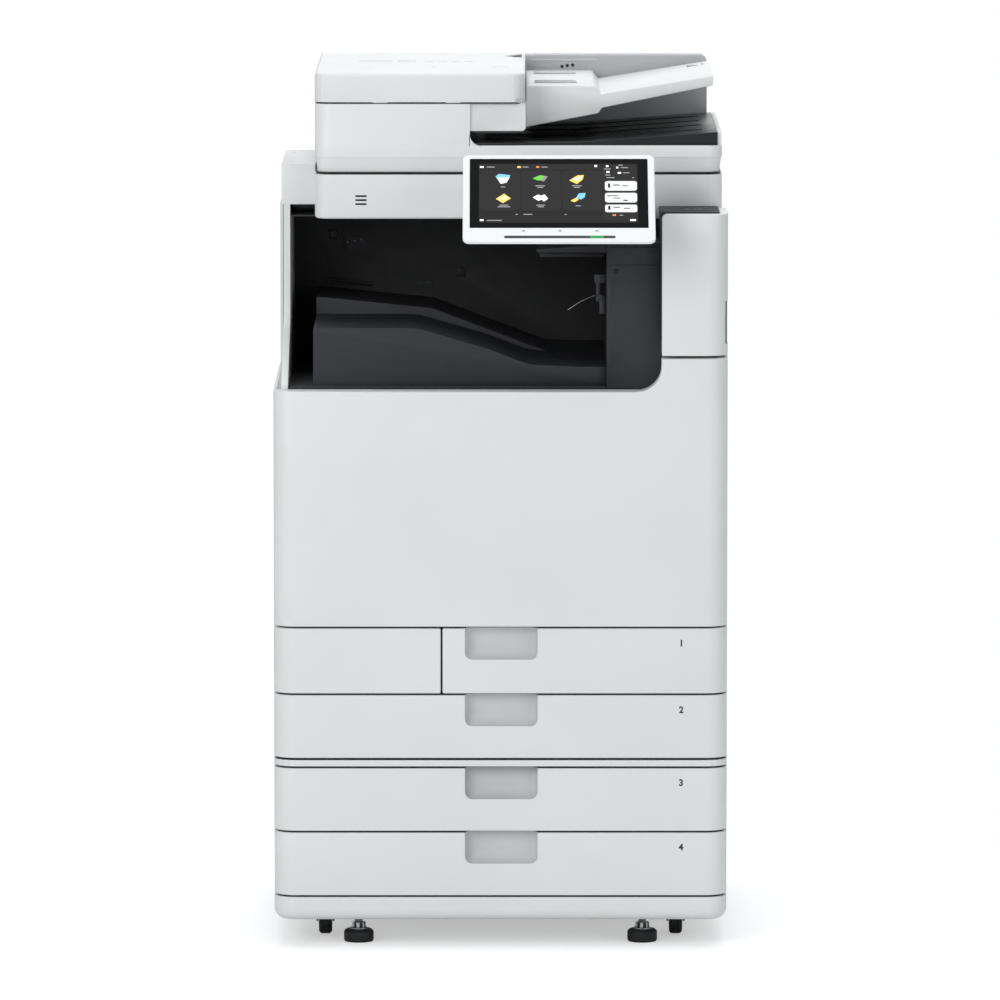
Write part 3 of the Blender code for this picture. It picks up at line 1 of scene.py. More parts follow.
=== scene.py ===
"""Looks for the free-standing A3 copier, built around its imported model.

Each sub-assembly is a class that makes and dresses its own pieces, each finish is a small dataclass, and
every place is worked out from the model's own boxes.
"""

from __future__ import annotations

import json
import logging
import math
from dataclasses import dataclass, field
from enum import Enum
from typing import Any, Optional, Sequence, Union

import bmesh
import bpy
import numpy as np
from mathutils import Matrix, Vector


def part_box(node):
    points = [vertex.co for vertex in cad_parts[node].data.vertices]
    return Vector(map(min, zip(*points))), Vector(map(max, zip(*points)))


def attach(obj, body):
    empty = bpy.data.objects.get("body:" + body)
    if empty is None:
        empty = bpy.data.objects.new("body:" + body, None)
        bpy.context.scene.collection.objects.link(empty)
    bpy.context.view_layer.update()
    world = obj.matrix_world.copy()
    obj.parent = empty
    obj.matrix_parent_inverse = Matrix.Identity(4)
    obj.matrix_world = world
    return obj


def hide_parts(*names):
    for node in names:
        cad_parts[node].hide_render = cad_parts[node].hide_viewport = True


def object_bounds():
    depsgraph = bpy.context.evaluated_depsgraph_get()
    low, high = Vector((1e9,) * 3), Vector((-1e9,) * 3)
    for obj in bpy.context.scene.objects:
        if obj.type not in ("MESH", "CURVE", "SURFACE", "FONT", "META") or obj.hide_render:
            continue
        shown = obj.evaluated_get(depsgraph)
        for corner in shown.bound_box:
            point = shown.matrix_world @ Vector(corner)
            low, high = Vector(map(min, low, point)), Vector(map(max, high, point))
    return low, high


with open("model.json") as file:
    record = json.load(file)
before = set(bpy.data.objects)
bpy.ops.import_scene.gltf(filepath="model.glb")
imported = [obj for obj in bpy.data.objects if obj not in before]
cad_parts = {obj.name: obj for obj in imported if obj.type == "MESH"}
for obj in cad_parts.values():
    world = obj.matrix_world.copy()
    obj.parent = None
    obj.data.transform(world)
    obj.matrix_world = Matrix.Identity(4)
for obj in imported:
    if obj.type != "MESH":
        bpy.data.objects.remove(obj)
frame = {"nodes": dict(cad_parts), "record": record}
CAD_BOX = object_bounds()
log = logging.getLogger("copier")

Mesh = bpy.types.Mesh
Piece = bpy.types.Object
Socket = bpy.types.NodeSocket
Point = Sequence[float]
Colour = tuple[float, float, float]
Number = Union[float, "Signal"]


# ---------------------------------------------------------------- shader graph


class Signal:
    """A number on a shader socket that takes part in Python arithmetic."""

    def __init__(self, graph: "Graph", socket: Socket) -> None:
        """Keep the graph and the socket."""
        self.graph = graph
        self.socket = socket

    def __add__(self, other: Number) -> "Signal":
        """Add."""
        return self.graph.math("ADD", self, other)

    def __sub__(self, other: Number) -> "Signal":
        """Subtract."""
        return self.graph.math("SUBTRACT", self, other)

    def __rsub__(self, other: Number) -> "Signal":
        """Subtract from a number."""
        return self.graph.math("SUBTRACT", other, self)

    def __mul__(self, other: Number) -> "Signal":
        """Multiply."""
        return self.graph.math("MULTIPLY", self, other)

    def __truediv__(self, other: Number) -> "Signal":
        """Divide."""
        return self.graph.math("DIVIDE", self, other)

    __radd__ = __add__
    __rmul__ = __mul__

    def clamped(self) -> "Signal":
        """The value held between 0 and 1."""
        return self.graph.math("MINIMUM", self.graph.math("MAXIMUM", self, 0.0), 1.0)

    def above(self, edge: float, soft: float) -> "Signal":
        """A mask that rises from 0 to 1 across the edge over the soft width."""
        return ((self - (edge - soft / 2)) / soft).clamped()


class Graph:
    """A material's node tree, with one method for any node."""

    def __init__(self, name: str, tree: Optional[bpy.types.NodeTree] = None) -> None:
        """Make an empty material with a Principled shader, or take a tree that is there.

        Args:
            name: the material's name.
            tree: a node tree to work in, such as a world's.
        """
        self.tree = tree
        if tree is None:
            self.material = bpy.data.materials.new(name)
            self.material.use_nodes = True
            self.tree = self.material.node_tree
            self.shader = self.tree.nodes["Principled BSDF"]
            self.place = self.tree.nodes.new("ShaderNodeTexCoord").outputs["Object"]

    def node(self, kind: str, settings: Optional[dict[str, Any]] = None, **inputs: Any) -> bpy.types.Node:
        """Make a node.

        Args:
            kind: the node's type, without its "ShaderNode" prefix.
            settings: properties that are set before the sockets.
            inputs: socket names, with "_" for a space, and their values or links.

        Returns:
            The new node.
        """
        made = self.tree.nodes.new("ShaderNode" + kind)
        for key, value in (settings or {}).items():
            setattr(made, key, value)
        for key, value in inputs.items():
            numbered = key[0] == "i" and key[1:].isdigit()
            self.feed(made.inputs[int(key[1:]) if numbered else key.replace("_", " ")], value)
        return made

    def feed(self, socket: Socket, value: Any) -> None:
        """Put a value, a signal or a socket on an input."""
        if isinstance(value, Signal):
            self.tree.links.new(value.socket, socket)
        elif isinstance(value, Socket):
            self.tree.links.new(value, socket)
        elif isinstance(value, tuple) and len(value) == 3 and socket.type == "RGBA":
            socket.default_value = (*value, 1.0)
        else:
            socket.default_value = value

    def math(self, operation: str, first: Number, second: Number) -> Signal:
        """A Math node on two numbers."""
        return Signal(self, self.node("Math", {"operation": operation}, i0=first, i1=second).outputs[0])

    def noise(self, scale: float, detail: float = 2.0, rough: float = 0.5, place: Any = None) -> Signal:
        """Noise from 0 to 1 over the object's own coordinates, or over the place given."""
        at = self.place if place is None else place
        made = self.node("TexNoise", None, Vector=at, Scale=scale, Detail=detail, Roughness=rough)
        return Signal(self, made.outputs[0])

    def cells(self, scale: float, place: Any = None) -> Signal:
        """The distance to the nearest of scattered points."""
        at = self.place if place is None else place
        return Signal(self, self.node("TexVoronoi", None, Vector=at, Scale=scale).outputs[0])

    def stretched(self, factors: tuple[float, float, float]) -> Socket:
        """The object's coordinates, multiplied axis by axis."""
        made = self.node("VectorMath", {"operation": "MULTIPLY"}, i0=self.place, i1=factors)
        return made.outputs[0]

    def mix(self, factor: Number, low: Any, high: Any) -> Socket:
        """A colour between two colours."""
        made = self.node("Mix", {"data_type": "RGBA"}, i0=factor)
        self.feed(made.inputs[6], low)
        self.feed(made.inputs[7], high)
        return made.outputs[2]

    def bump(self, height: Signal, depth: float, strength: float = 1.0) -> None:
        """Send a height from 0 to 1 to the shader's normal, as relief of the given depth in metres."""
        made = self.node("Bump", None, Height=height, Distance=depth, Strength=strength)
        self.tree.links.new(made.outputs[0], self.shader.inputs["Normal"])

    def set(self, **values: Any) -> None:
        """Put values or links on the shader's own sockets."""
        for key, value in values.items():
            self.feed(self.shader.inputs[key.replace("_", " ")], value)


# -------------------------------------------------------------------- finishes


def shade(colour: Colour, share: float, extra: float = 0.0) -> Colour:
    """A colour made darker or lighter, held at 1."""
    return tuple(min(channel * share + extra, 1.0) for channel in colour)


@dataclass(frozen=True)
class MouldedPlastic:
    """Moulded plastic: fine spark-eroded grain, faint cloudiness and a film of handling marks."""

    name: str
    colour: Colour
    roughness: float = 0.45
    grain: float = 0.00004
    grain_scale: float = 900.0
    cloud: float = 0.03
    dust: float = 0.10

    def make(self) -> bpy.types.Material:
        """Build the material."""
        graph = Graph(self.name)
        cloud = graph.noise(5.0, 3.0)
        film = graph.noise(38.0, 5.0, 0.65).above(0.56, 0.22)
        tone = graph.mix(cloud.above(0.5, 0.5), shade(self.colour, 1 - self.cloud),
                         shade(self.colour, 1 + self.cloud))
        graph.set(Base_Color=tone)
        fine = graph.noise(self.grain_scale, 2.0, 0.6)
        graph.set(Roughness=self.roughness + film * self.dust + (fine - 0.5) * 0.06)
        graph.bump(fine * 0.8 + graph.cells(self.grain_scale * 0.55) * 0.2, self.grain)
        graph.set(Specular_IOR_Level=0.42)
        return graph.material


@dataclass(frozen=True)
class ZincSheet:
    """Zinc-plated sheet steel with soft spangles and rolling lines."""

    name: str
    colour: Colour

    def make(self) -> bpy.types.Material:
        """Build the material."""
        graph = Graph(self.name)
        spangle = graph.cells(70.0)
        lines = graph.noise(60.0, 4.0, 0.7, graph.stretched((1.0, 18.0, 18.0)))
        blend = (spangle * 0.5 + lines * 0.5).clamped()
        tone = graph.mix(blend, shade(self.colour, 0.82), shade(self.colour, 1.15))
        graph.set(Base_Color=tone, Metallic=1.0, Roughness=0.28 + lines * 0.18)
        graph.bump(lines, 0.00002)
        return graph.material


@dataclass(frozen=True)
class Rubber:
    """Matt rubber with a fine ground surface and a trace of paper dust."""

    name: str
    colour: Colour

    def make(self) -> bpy.types.Material:
        """Build the material."""
        graph = Graph(self.name)
        ground = graph.noise(1500.0, 3.0, 0.7)
        dust = graph.noise(60.0, 4.0, 0.6).above(0.6, 0.3)
        tone = graph.mix(dust, self.colour, shade(self.colour, 1.0, 0.03))
        graph.set(Base_Color=tone, Roughness=0.78 + dust * 0.12)
        graph.bump(ground, 0.00006)
        return graph.material


@dataclass(frozen=True)
class PolishedGlass:
    """Polished glass or a polished coating, clear or opaque, with faint finger film."""

    name: str
    colour: Colour
    roughness: float = 0.05
    transmission: float = 0.0
    coat: float = 0.0
    specular: float = 0.5

    def make(self) -> bpy.types.Material:
        """Build the material."""
        graph = Graph(self.name)
        graph.set(Specular_IOR_Level=self.specular)
        film = graph.noise(22.0, 5.0, 0.6, graph.stretched((1.0, 2.2, 1.4))).above(0.58, 0.3)
        tone = graph.noise(9.0, 2.0)
        graph.set(Base_Color=graph.mix(tone, shade(self.colour, 0.86), self.colour),
                  Roughness=self.roughness + film * 0.07, Transmission_Weight=self.transmission, IOR=1.5,
                  Coat_Weight=self.coat)
        return graph.material


@dataclass(frozen=True)
class Printed:
    """Ink, a lit display or a lamp: a flat tone with the fine cells that such a surface shows."""

    name: str
    colour: Colour
    glow: float = 0.0
    pitch: float = 2500.0

    def make(self) -> bpy.types.Material:
        """Build the material."""
        graph = Graph(self.name)
        cells = graph.cells(self.pitch).above(0.35, 0.5)
        tone = graph.mix(cells, self.colour, shade(self.colour, 0.93))
        graph.set(Base_Color=tone, Roughness=0.32 + graph.noise(200.0) * 0.08)
        graph.set(Specular_IOR_Level=0.08)
        if self.glow > 0:
            graph.set(Emission_Color=tone, Emission_Strength=self.glow)
        return graph.material


class Finish(Enum):
    """Every finish on the machine."""

    WHITE = MouldedPlastic("white_plastic", (0.80, 0.81, 0.80), 0.42)
    WARM_WHITE = MouldedPlastic("warm_white_plastic", (0.80, 0.80, 0.79), 0.45)
    PALE = MouldedPlastic("pale_grey_plastic", (0.46, 0.47, 0.48), 0.5)
    MID = MouldedPlastic("mid_grey_plastic", (0.22, 0.225, 0.23), 0.5)
    CHARCOAL = MouldedPlastic("charcoal_plastic", (0.021, 0.022, 0.026), 0.5, 0.00006, 700.0, 0.08)
    BLACK = MouldedPlastic("black_plastic", (0.008, 0.009, 0.010), 0.35, 0.00004, 800.0, 0.1)
    STEEL = ZincSheet("zinc_steel", (0.58, 0.59, 0.60))
    RUBBER = Rubber("rubber", (0.014, 0.014, 0.015))
    SCREEN = PolishedGlass("screen_glass", (0.0012, 0.0012, 0.0014), 0.08, specular=0.04)
    PLATEN = PolishedGlass("platen_glass_finish", (0.80, 0.90, 0.87), 0.02, 0.85)
    DRUM = PolishedGlass("drum_coating", (0.05, 0.17, 0.22), 0.12, 0.0, 0.6)
    INK = Printed("printed_mark", (0.06, 0.062, 0.066))
    LIGHT = MouldedPlastic("light_grey_plastic", (0.62, 0.63, 0.64), 0.40)
    SHEEN = PolishedGlass("lamp_lens", (0.62, 0.66, 0.62), 0.15, 0.0, 0.4)
    SLATE = MouldedPlastic("slate_plastic", (0.055, 0.057, 0.062), 0.42)
    WIRE = ZincSheet("sensor_wire", (0.36, 0.36, 0.36))
    BRIGHT = MouldedPlastic("bright_white_plastic", (0.90, 0.905, 0.905), 0.36)
    # Darker copy of the white plastic, used as painted shade inside the drawer pockets.
    POCKET = MouldedPlastic("pocket_plastic", (0.60, 0.605, 0.615), 0.5, 0.00006, 700.0, 0.08)
    BAY = MouldedPlastic("bay_plastic", (0.024, 0.0245, 0.027), 0.6, 0.00006, 700.0, 0.08)
    UI_GROUND = Printed("lit_ground", (0.0085, 0.0085, 0.009), 0.9)
    UI_TILE = Printed("lit_tile", (0.0125, 0.0125, 0.013), 0.9)
    UI_TEXT = Printed("lit_text", (0.30, 0.30, 0.31), 0.8)
    UI_WHITE = Printed("lit_white", (0.86, 0.87, 0.88), 0.9)
    UI_LIGHT = Printed("lit_box", (0.58, 0.59, 0.62), 0.8)
    UI_GREY = Printed("lit_grey", (0.22, 0.22, 0.21), 0.8)
    UI_BLUE = Printed("lit_blue", (0.18, 0.46, 0.76), 0.8)
    UI_GREEN = Printed("lit_green", (0.13, 0.45, 0.06), 0.8)
    UI_YELLOW = Printed("lit_yellow", (0.76, 0.52, 0.13), 0.8)
    UI_ORANGE = Printed("lit_orange", (0.70, 0.20, 0.05), 0.8)
    LAMP = Printed("lit_lamp", (0.015, 0.24, 0.055), 0.9)

    def material(self) -> bpy.types.Material:
        """The finish's material, made once."""
        found = bpy.data.materials.get("finish_" + self.value.name)
        if found is None:
            found = self.value.make()
            found.name = "finish_" + self.value.name
        return found


NODE_SLOT = {entry["node"]: entry["material_slot"] for entry in frame["record"]["subparts"]}
SLOT_FINISH = {finish.value.name: finish for finish in Finish if finish.value.name in NODE_SLOT.values()}
NODE_BODY = {node: body for body, nodes in frame["record"]["behaviour"]["bodies"].items() for node in nodes}


# -------------------------------------------------------------- making pieces


def linked(name: str, data: Any) -> Piece:
    """A new object in the scene."""
    obj = bpy.data.objects.new(name, data)
    bpy.context.scene.collection.objects.link(obj)
    return obj


def settled(obj: Piece) -> Piece:
    """Apply an object's modifiers to its mesh, and keep its points inside the model's box."""
    graph = bpy.context.evaluated_depsgraph_get()
    mesh = bpy.data.meshes.new_from_object(obj.evaluated_get(graph))
    points = np.empty(len(mesh.vertices) * 3)
    mesh.vertices.foreach_get("co", points)
    mesh.vertices.foreach_set("co", np.clip(points.reshape(-1, 3), *np.array(CAD_BOX)).ravel())
    mesh.update()
    obj.modifiers.clear()
    obj.data = mesh
    return obj


def combined(obj: Piece, tool: Mesh, operation: str) -> Piece:
    """Apply a boolean operation to an object, with a closed mesh as the tool."""
    helper = linked("tool", tool)
    step = obj.modifiers.new("step", "BOOLEAN")
    step.operation = operation
    step.solver = "EXACT"
    step.object = helper
    settled(obj)
    bpy.data.objects.remove(helper)
    return obj


def common(name: str, first: Mesh, second: Mesh) -> Mesh:
    """The volume that two closed meshes share."""
    obj = combined(linked(name, first), second, "INTERSECT")
    mesh = obj.data
    bpy.data.objects.remove(obj)
    return mesh


def placed(
    name: str, mesh: Mesh, finish: Finish, body: str, sharp: float = 35.0
) -> Piece:
    """Put a finished mesh in the scene as a piece that rides on a body.

    Args:
        name: the piece's name.
        mesh: its mesh, in the model's own frame.
        finish: what it is made of.
        body: the body that it moves with.
        sharp: the angle in degrees past which an edge stays sharp.

    Returns:
        The new object.
    """
    mesh.materials.clear()
    mesh.materials.append(finish.material())
    mesh.shade_smooth()
    mesh.set_sharp_from_angle(angle=math.radians(sharp))
    obj = linked(name, mesh)
    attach(obj, body)
    return obj


def mesh_from(points: np.ndarray, faces: Sequence[Sequence[int]], name: str) -> Mesh:
    """A mesh from an array of points and lists of corners, with its faces pointing out."""
    mesh = bpy.data.meshes.new(name)
    mesh.from_pydata(points.reshape(-1, 3).tolist(), [], [list(face) for face in faces])
    build = bmesh.new()
    build.from_mesh(mesh)
    bmesh.ops.remove_doubles(build, verts=build.verts, dist=0.000002)
    bmesh.ops.recalc_face_normals(build, faces=build.faces)
    build.to_mesh(mesh)
    build.free()
    return mesh


def grid_faces(rows: int, columns: int, wrap: bool) -> np.ndarray:
    """The quads of a grid of rows by columns of points, joined round along its rows if it wraps."""
    across = columns if wrap else columns - 1
    row, column = np.meshgrid(np.arange(rows - 1), np.arange(across), indexing="ij")
    beside = (column + 1) % columns
    corners = [row * columns + column, row * columns + beside, (row + 1) * columns + beside,
               (row + 1) * columns + column]
    return np.stack(corners, -1).reshape(-1, 4)


def at_level(outline: np.ndarray, level: float) -> np.ndarray:
    """A flat outline's points, with a third coordinate."""
    return np.concatenate([outline, np.full((len(outline), 1), level)], -1)


def lofted(points: np.ndarray, name: str) -> Mesh:
    """A closed solid from a stack of rings, with its first and last ring filled.

    Args:
        points: rings by corners by three, each ring a closed outline.
        name: the mesh's name.
    """
    rings, corners, _ = points.shape
    faces = grid_faces(rings, corners, True).tolist()
    faces.append(list(range(corners - 1, -1, -1)))
    faces.append(list(range((rings - 1) * corners, rings * corners)))
    return mesh_from(points, faces, name)


def round_outline(low: Point, high: Point, radii: Point, steps: int = 10) -> np.ndarray:
    """A rectangle whose corners are quarter circles, as an array of points.

    Each corner's points are its arc centre plus radius times (cos t, sin t), over a quarter turn of t.

    Args:
        low: the rectangle's lowest corner.
        high: its highest corner.
        radii: the radius at low-low, high-low, high-high and low-high.
        steps: segments in each quarter circle.
    """
    signs = ((-1, -1), (1, -1), (1, 1), (-1, 1))
    parts = []
    for index, (sign_x, sign_y) in enumerate(signs):
        radius = max(radii[index], 0.00001)
        centre = (
            (low[0] + radius) if sign_x < 0 else (high[0] - radius),
            (low[1] + radius) if sign_y < 0 else (high[1] - radius),
        )
        turn = np.pi + np.pi / 2 * (index + np.linspace(0, 1, steps + 1))
        parts.append(np.stack([centre[0] + radius * np.cos(turn), centre[1] + radius * np.sin(turn)], -1))
    return np.concatenate(parts)


OVER = 0.001
PAST = 0.002
AXIS_ORDER = {"x": (2, 0, 1), "y": (0, 2, 1), "z": (0, 1, 2)}


def quarter_rim(start: float, end: float, low_edge: float, high_edge: float, steps: int = 4) -> np.ndarray:
    """A profile with a quarter round at each end, as rows of inset and place."""
    turn = np.linspace(0, np.pi / 2, steps + 1)
    low = np.stack([low_edge * (1 - np.sin(turn)), start + low_edge * (1 - np.cos(turn))], -1)
    high = np.stack([high_edge * (1 - np.cos(turn)), end - high_edge * (1 - np.sin(turn))], -1)
    return np.concatenate([low, high])


def swept_slab(name: str, low: Point, high: Point, radii: Point, axis: str, rim: np.ndarray,
               steps: int = 12, least: float = 0.0002) -> Mesh:
    """A slab with round corners whose sides follow a profile.

    Ring k is the outline shrunk by the profile's inset k and set at its place k along the axis.

    Args:
        name: the mesh's name.
        low: the lowest corner, in the model's frame.
        high: the highest corner.
        radii: the corner radii, as in round_outline, in the plane across the axis.
        axis: the axis of the loft.
        rim: rows of inset and place along the axis, from low to high.
        steps: segments in each corner.
        least: the smallest radius that a shrunk corner keeps.
    """
    order = list(AXIS_ORDER[axis])
    flat_low, flat_high = (np.array([end[order.index(0)], end[order.index(1)]]) for end in (low, high))
    rings = []
    for inset, level in rim:
        shrunk = [max(radius - inset, least) for radius in radii]
        outline = round_outline(flat_low + inset, flat_high - inset, shrunk, steps)
        rings.append(at_level(outline, level)[:, order])
    return lofted(np.array(rings), name)


def rounded_slab(name: str, low: Point, high: Point, radii: Point, axis: str, edge: float,
                 steps: int = 10) -> Mesh:
    """A slab with round corners and rims rounded by the edge's radius, lofted along an axis."""
    along = AXIS_ORDER[axis].index(2)
    return swept_slab(name, low, high, radii, axis, quarter_rim(low[along], high[along], edge, edge),
                      steps, 0.0001)


def tube(path: np.ndarray, radius: Union[float, np.ndarray], name: str, sides: int = 12) -> Mesh:
    """A round bar carried along a path.

    At each point, the ring is the point plus radius times (cos t, sin t) in the plane across the path.
    """
    tangent = np.gradient(path, axis=0)
    tangent /= np.linalg.norm(tangent, axis=1, keepdims=True)
    helper = np.where(np.abs(tangent[:, 2:3]) < 0.9, [[0.0, 0.0, 1.0]], [[1.0, 0.0, 0.0]])
    side = np.cross(tangent, helper)
    side /= np.linalg.norm(side, axis=1, keepdims=True)
    up = np.cross(side, tangent)
    turn = np.linspace(0, 2 * np.pi, sides, endpoint=False)
    width = np.broadcast_to(np.asarray(radius, float), (len(path),))[:, None, None]
    ring = side[:, None] * np.cos(turn)[None, :, None] + up[:, None] * np.sin(turn)[None, :, None]
    return lofted(path[:, None] + width * ring, name)


def merged(meshes: Sequence[Mesh], name: str) -> Mesh:
    """Several meshes as one."""
    build = bmesh.new()
    for mesh in meshes:
        build.from_mesh(mesh)
        bpy.data.meshes.remove(mesh)
    result = bpy.data.meshes.new(name)
    build.to_mesh(result)
    build.free()
    return result


def brick(low: Point, high: Point, edge: float = 0.0003) -> Mesh:
    """A small block with softened edges."""
    return rounded_slab("brick", low, high, [edge] * 4, "z", edge, 2)


def carve(obj: Piece, cutters: Sequence[Mesh]) -> Piece:
    """Take closed meshes away from an object, all at once."""
    return combined(obj, merged(cutters, "cutter"), "DIFFERENCE")


def soften(obj: Piece, width: float, segments: int = 3) -> Piece:
    """Round an object's edges and even out the shading of its flat faces."""
    bevel = obj.modifiers.new("edges", "BEVEL")
    bevel.width = width
    bevel.segments = segments
    bevel.limit_method = "ANGLE"
    bevel.angle_limit = math.radians(32)
    bevel.use_clamp_overlap = True
    even = obj.modifiers.new("shading", "WEIGHTED_NORMAL")
    even.mode = "FACE_AREA"
    even.keep_sharp = True
    return obj


def cad_copy(node: str) -> Mesh:
    """A model node's shape as a fresh mesh, with its flat faces whole again."""
    source = frame["nodes"][node].data
    points = np.zeros(len(source.vertices) * 3, np.float32)
    source.vertices.foreach_get("co", points)
    faces = [list(polygon.vertices) for polygon in source.polygons]
    mesh = bpy.data.meshes.new(node)
    mesh.from_pydata(points.reshape(-1, 3).tolist(), [], faces)
    build = bmesh.new()
    build.from_mesh(mesh)
    bmesh.ops.remove_doubles(build, verts=build.verts, dist=0.00001)
    bmesh.ops.dissolve_limit(build, angle_limit=math.radians(0.5), verts=build.verts, edges=build.edges)
    build.to_mesh(mesh)
    build.free()
    return mesh


def stand_in(node: str, mesh: Mesh, finish: Optional[Finish] = None, sharp: float = 40.0,
             name: str = "") -> Piece:
    """Put a finished mesh in a model node's place.

    Args:
        node: the node that it replaces.
        mesh: the new shape.
        finish: what it is made of, if not its slot's own finish.
        sharp: the angle in degrees past which an edge stays sharp.
        name: the piece's name, if not made from the node's.
    """
    slot = NODE_SLOT[node]
    piece = placed(name or "shaped_" + node, mesh, finish or SLOT_FINISH[slot], NODE_BODY[node], sharp)
    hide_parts(node)
    return piece


def resharpened(piece: Piece, sharp: float, smooth: bool = False) -> Piece:
    """Mark a piece's sharp edges again after its shape has changed."""
    if smooth:
        piece.data.shade_smooth()
    piece.data.set_sharp_from_angle(angle=math.radians(sharp))
    return piece


def fine_node(node: str, width: float, finish: Optional[Finish] = None,
              cutters: Sequence[Mesh] = ()) -> Piece:
    """Stand a finely edged piece in for a model node.

    Args:
        node: the node that it replaces.
        width: the radius of its edges.
        finish: what it is made of, if not its slot's own finish.
        cutters: closed meshes to take away first, such as louvres.
    """
    piece = stand_in(node, cad_copy(node), finish, 35.0, "fine_" + node)
    if cutters:
        carve(piece, cutters)
    soften(piece, width)
    return resharpened(settled(piece), 50, True)


def detail(name: str, meshes: Sequence[Mesh], finish: Finish, body: str) -> Piece:
    """A small added piece made of one or more meshes."""
    return placed(name, merged(list(meshes), name), finish, body)


def lettering(text: str, size: float, at: Point, turn: Matrix, depth: float,
              weight: float = 0.0) -> Mesh:
    """Plain raised characters as a mesh.

    Args:
        text: the characters.
        size: their height, in metres.
        at: the middle of the text.
        turn: the rotation that faces them the right way.
        depth: half of their thickness.
        weight: how much each stroke is thickened.
    """
    curve = bpy.data.curves.new("text", "FONT")
    curve.body = text
    curve.size = size / 0.7
    curve.align_x = "CENTER"
    curve.align_y = "CENTER"
    curve.extrude = depth
    curve.offset = weight
    obj = linked("text", curve)
    bpy.context.view_layer.update()
    mesh = bpy.data.meshes.new_from_object(obj.evaluated_get(bpy.context.evaluated_depsgraph_get()))
    bpy.data.objects.remove(obj)
    mesh.transform(Matrix.Translation(Vector(at)) @ turn.to_4x4())
    return mesh


FACING_FRONT = Matrix.Rotation(math.pi / 2, 3, "X")


def span(node: str) -> tuple[np.ndarray, np.ndarray]:
    """A node's lowest and highest corners as arrays."""
    low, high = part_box(node)
    return np.array(low), np.array(high)


# ---------------------------------------------------------- camera and studio


@dataclass
class Studio:
    """Camera, lamps, floor and white surround."""

    distance: float = 12.6
    eye_height: float = 1.99
    aim_x: float = -0.0007
    aim_height: float = 0.6168
    lens: float = 334.7
    shadow_radius: float = 0.45
    white_radius: float = 1.15
    floor_half: float = 9.0
    sky: Colour = (0.93, 0.96, 1.0)
    sky_light: float = 0.42
    white: Colour = (1.0, 1.0, 1.0)

    def camera(self) -> None:
        """A long lens, a little above the top of the machine and looking slightly down."""
        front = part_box("front_cover")[0].y
        data = bpy.data.cameras.new("view")
        data.lens = self.lens
        data.sensor_width = 36.0
        data.clip_end = 60.0
        camera = linked("view", data)
        camera.location = (0.0, front - self.distance, self.eye_height)
        aim = Vector((self.aim_x, front, self.aim_height)) - camera.location
        camera.rotation_euler = aim.to_track_quat("-Z", "Y").to_euler()
        bpy.context.scene.camera = camera

    def lamp(self, name: str, at: Point, aim: Point, size: float, power: float) -> None:
        """A square soft box."""
        data = bpy.data.lights.new(name, "AREA")
        data.shape = "SQUARE"
        data.size = size
        data.energy = power
        obj = linked(name, data)
        obj.location = at
        obj.rotation_euler = (Vector(aim) - Vector(at)).to_track_quat("-Z", "Y").to_euler()

    def lights(self) -> None:
        """A large key from the upper left, a broad front fill and an overhead box."""
        middle = (0.0, 0.0, 0.65)
        self.lamp("key", (-2.2, -3.6, 2.3), middle, 2.2, 66.0)
        self.lamp("fill", (2.6, -3.4, 1.5), middle, 2.6, 26.0)
        self.lamp("top", (0.0, 0.2, 3.4), middle, 2.4, 30.0)
        self.lamp("back", (0.6, 3.2, 2.2), middle, 2.4, 22.0)

    def surround(self) -> None:
        """A pale world that the camera and clear parts see as white."""
        world = bpy.data.worlds.new("surround")
        bpy.context.scene.world = world
        world.use_nodes = True
        world.node_tree.nodes.clear()
        graph = Graph("surround", world.node_tree)
        path = graph.node("LightPath").outputs
        seen = graph.math("MAXIMUM", path["Is Camera Ray"], path["Is Transmission Ray"])
        soft = graph.node("Background", None, Color=self.sky, Strength=self.sky_light)
        white = graph.node("Background", None, Color=self.white, Strength=1.0)
        mixed = graph.node("MixShader", None, i0=seen, i1=soft.outputs[0], i2=white.outputs[0])
        graph.node("OutputWorld", None, Surface=mixed.outputs[0])

    def distance_from_middle(self, graph: Graph) -> Socket:
        """How far the floor has turned to white: 0 beside the machine and 1 from the white radius on."""
        reach = graph.node("VectorMath", {"operation": "LENGTH"}, i0=graph.place)
        ramp = graph.node("MapRange", {"interpolation_type": "SMOOTHSTEP"}, i0=reach.outputs["Value"],
                          i1=self.shadow_radius, i2=self.white_radius)
        return ramp.outputs["Result"]

    def floor(self) -> None:
        """A pale floor that keeps the machine's shadow and otherwise looks like the white surround."""
        mesh = bpy.data.meshes.new("floor")
        corners = [(x * self.floor_half, y * self.floor_half, 0.0)
                   for x, y in ((-1, -1), (1, -1), (1, 1), (-1, 1))]
        mesh.from_pydata(corners, [], [(0, 1, 2, 3)])
        floor = linked("floor", mesh)
        graph = Graph("floor_paint")
        paint = graph.mix(graph.noise(3.0), (0.86, 0.86, 0.86), (0.88, 0.88, 0.88))
        graph.set(Base_Color=paint, Roughness=0.7)
        lit = graph.shader.outputs[0]
        glow = graph.node("Emission", None, Color=self.white, Strength=self.sky_light).outputs[0]
        both = graph.node("AddShader", None, i0=lit, i1=glow).outputs[0]
        white = graph.node("Emission", None, Color=self.white, Strength=1.0).outputs[0]
        near = graph.node("MixShader", None, i0=self.distance_from_middle(graph), i1=both,
                          i2=white).outputs[0]
        camera_ray = graph.node("LightPath").outputs["Is Camera Ray"]
        chosen = graph.node("MixShader", None, i0=camera_ray, i1=lit, i2=near).outputs[0]
        graph.feed(graph.tree.nodes["Material Output"].inputs["Surface"], chosen)
        mesh.materials.append(graph.material)

    def build(self) -> None:
        """Set up the whole studio."""
        bpy.context.scene.view_settings.view_transform = "Standard"
        self.camera()
        self.surround()
        self.lights()
        self.floor()
        log.info("studio ready")


# ---------------------------------------------------------------- front panels


def kept(node: str, low: Point, high: Point) -> Mesh:
    """The part of a model node that lies inside a box."""
    return common("kept", cad_copy(node), brick(low, high))


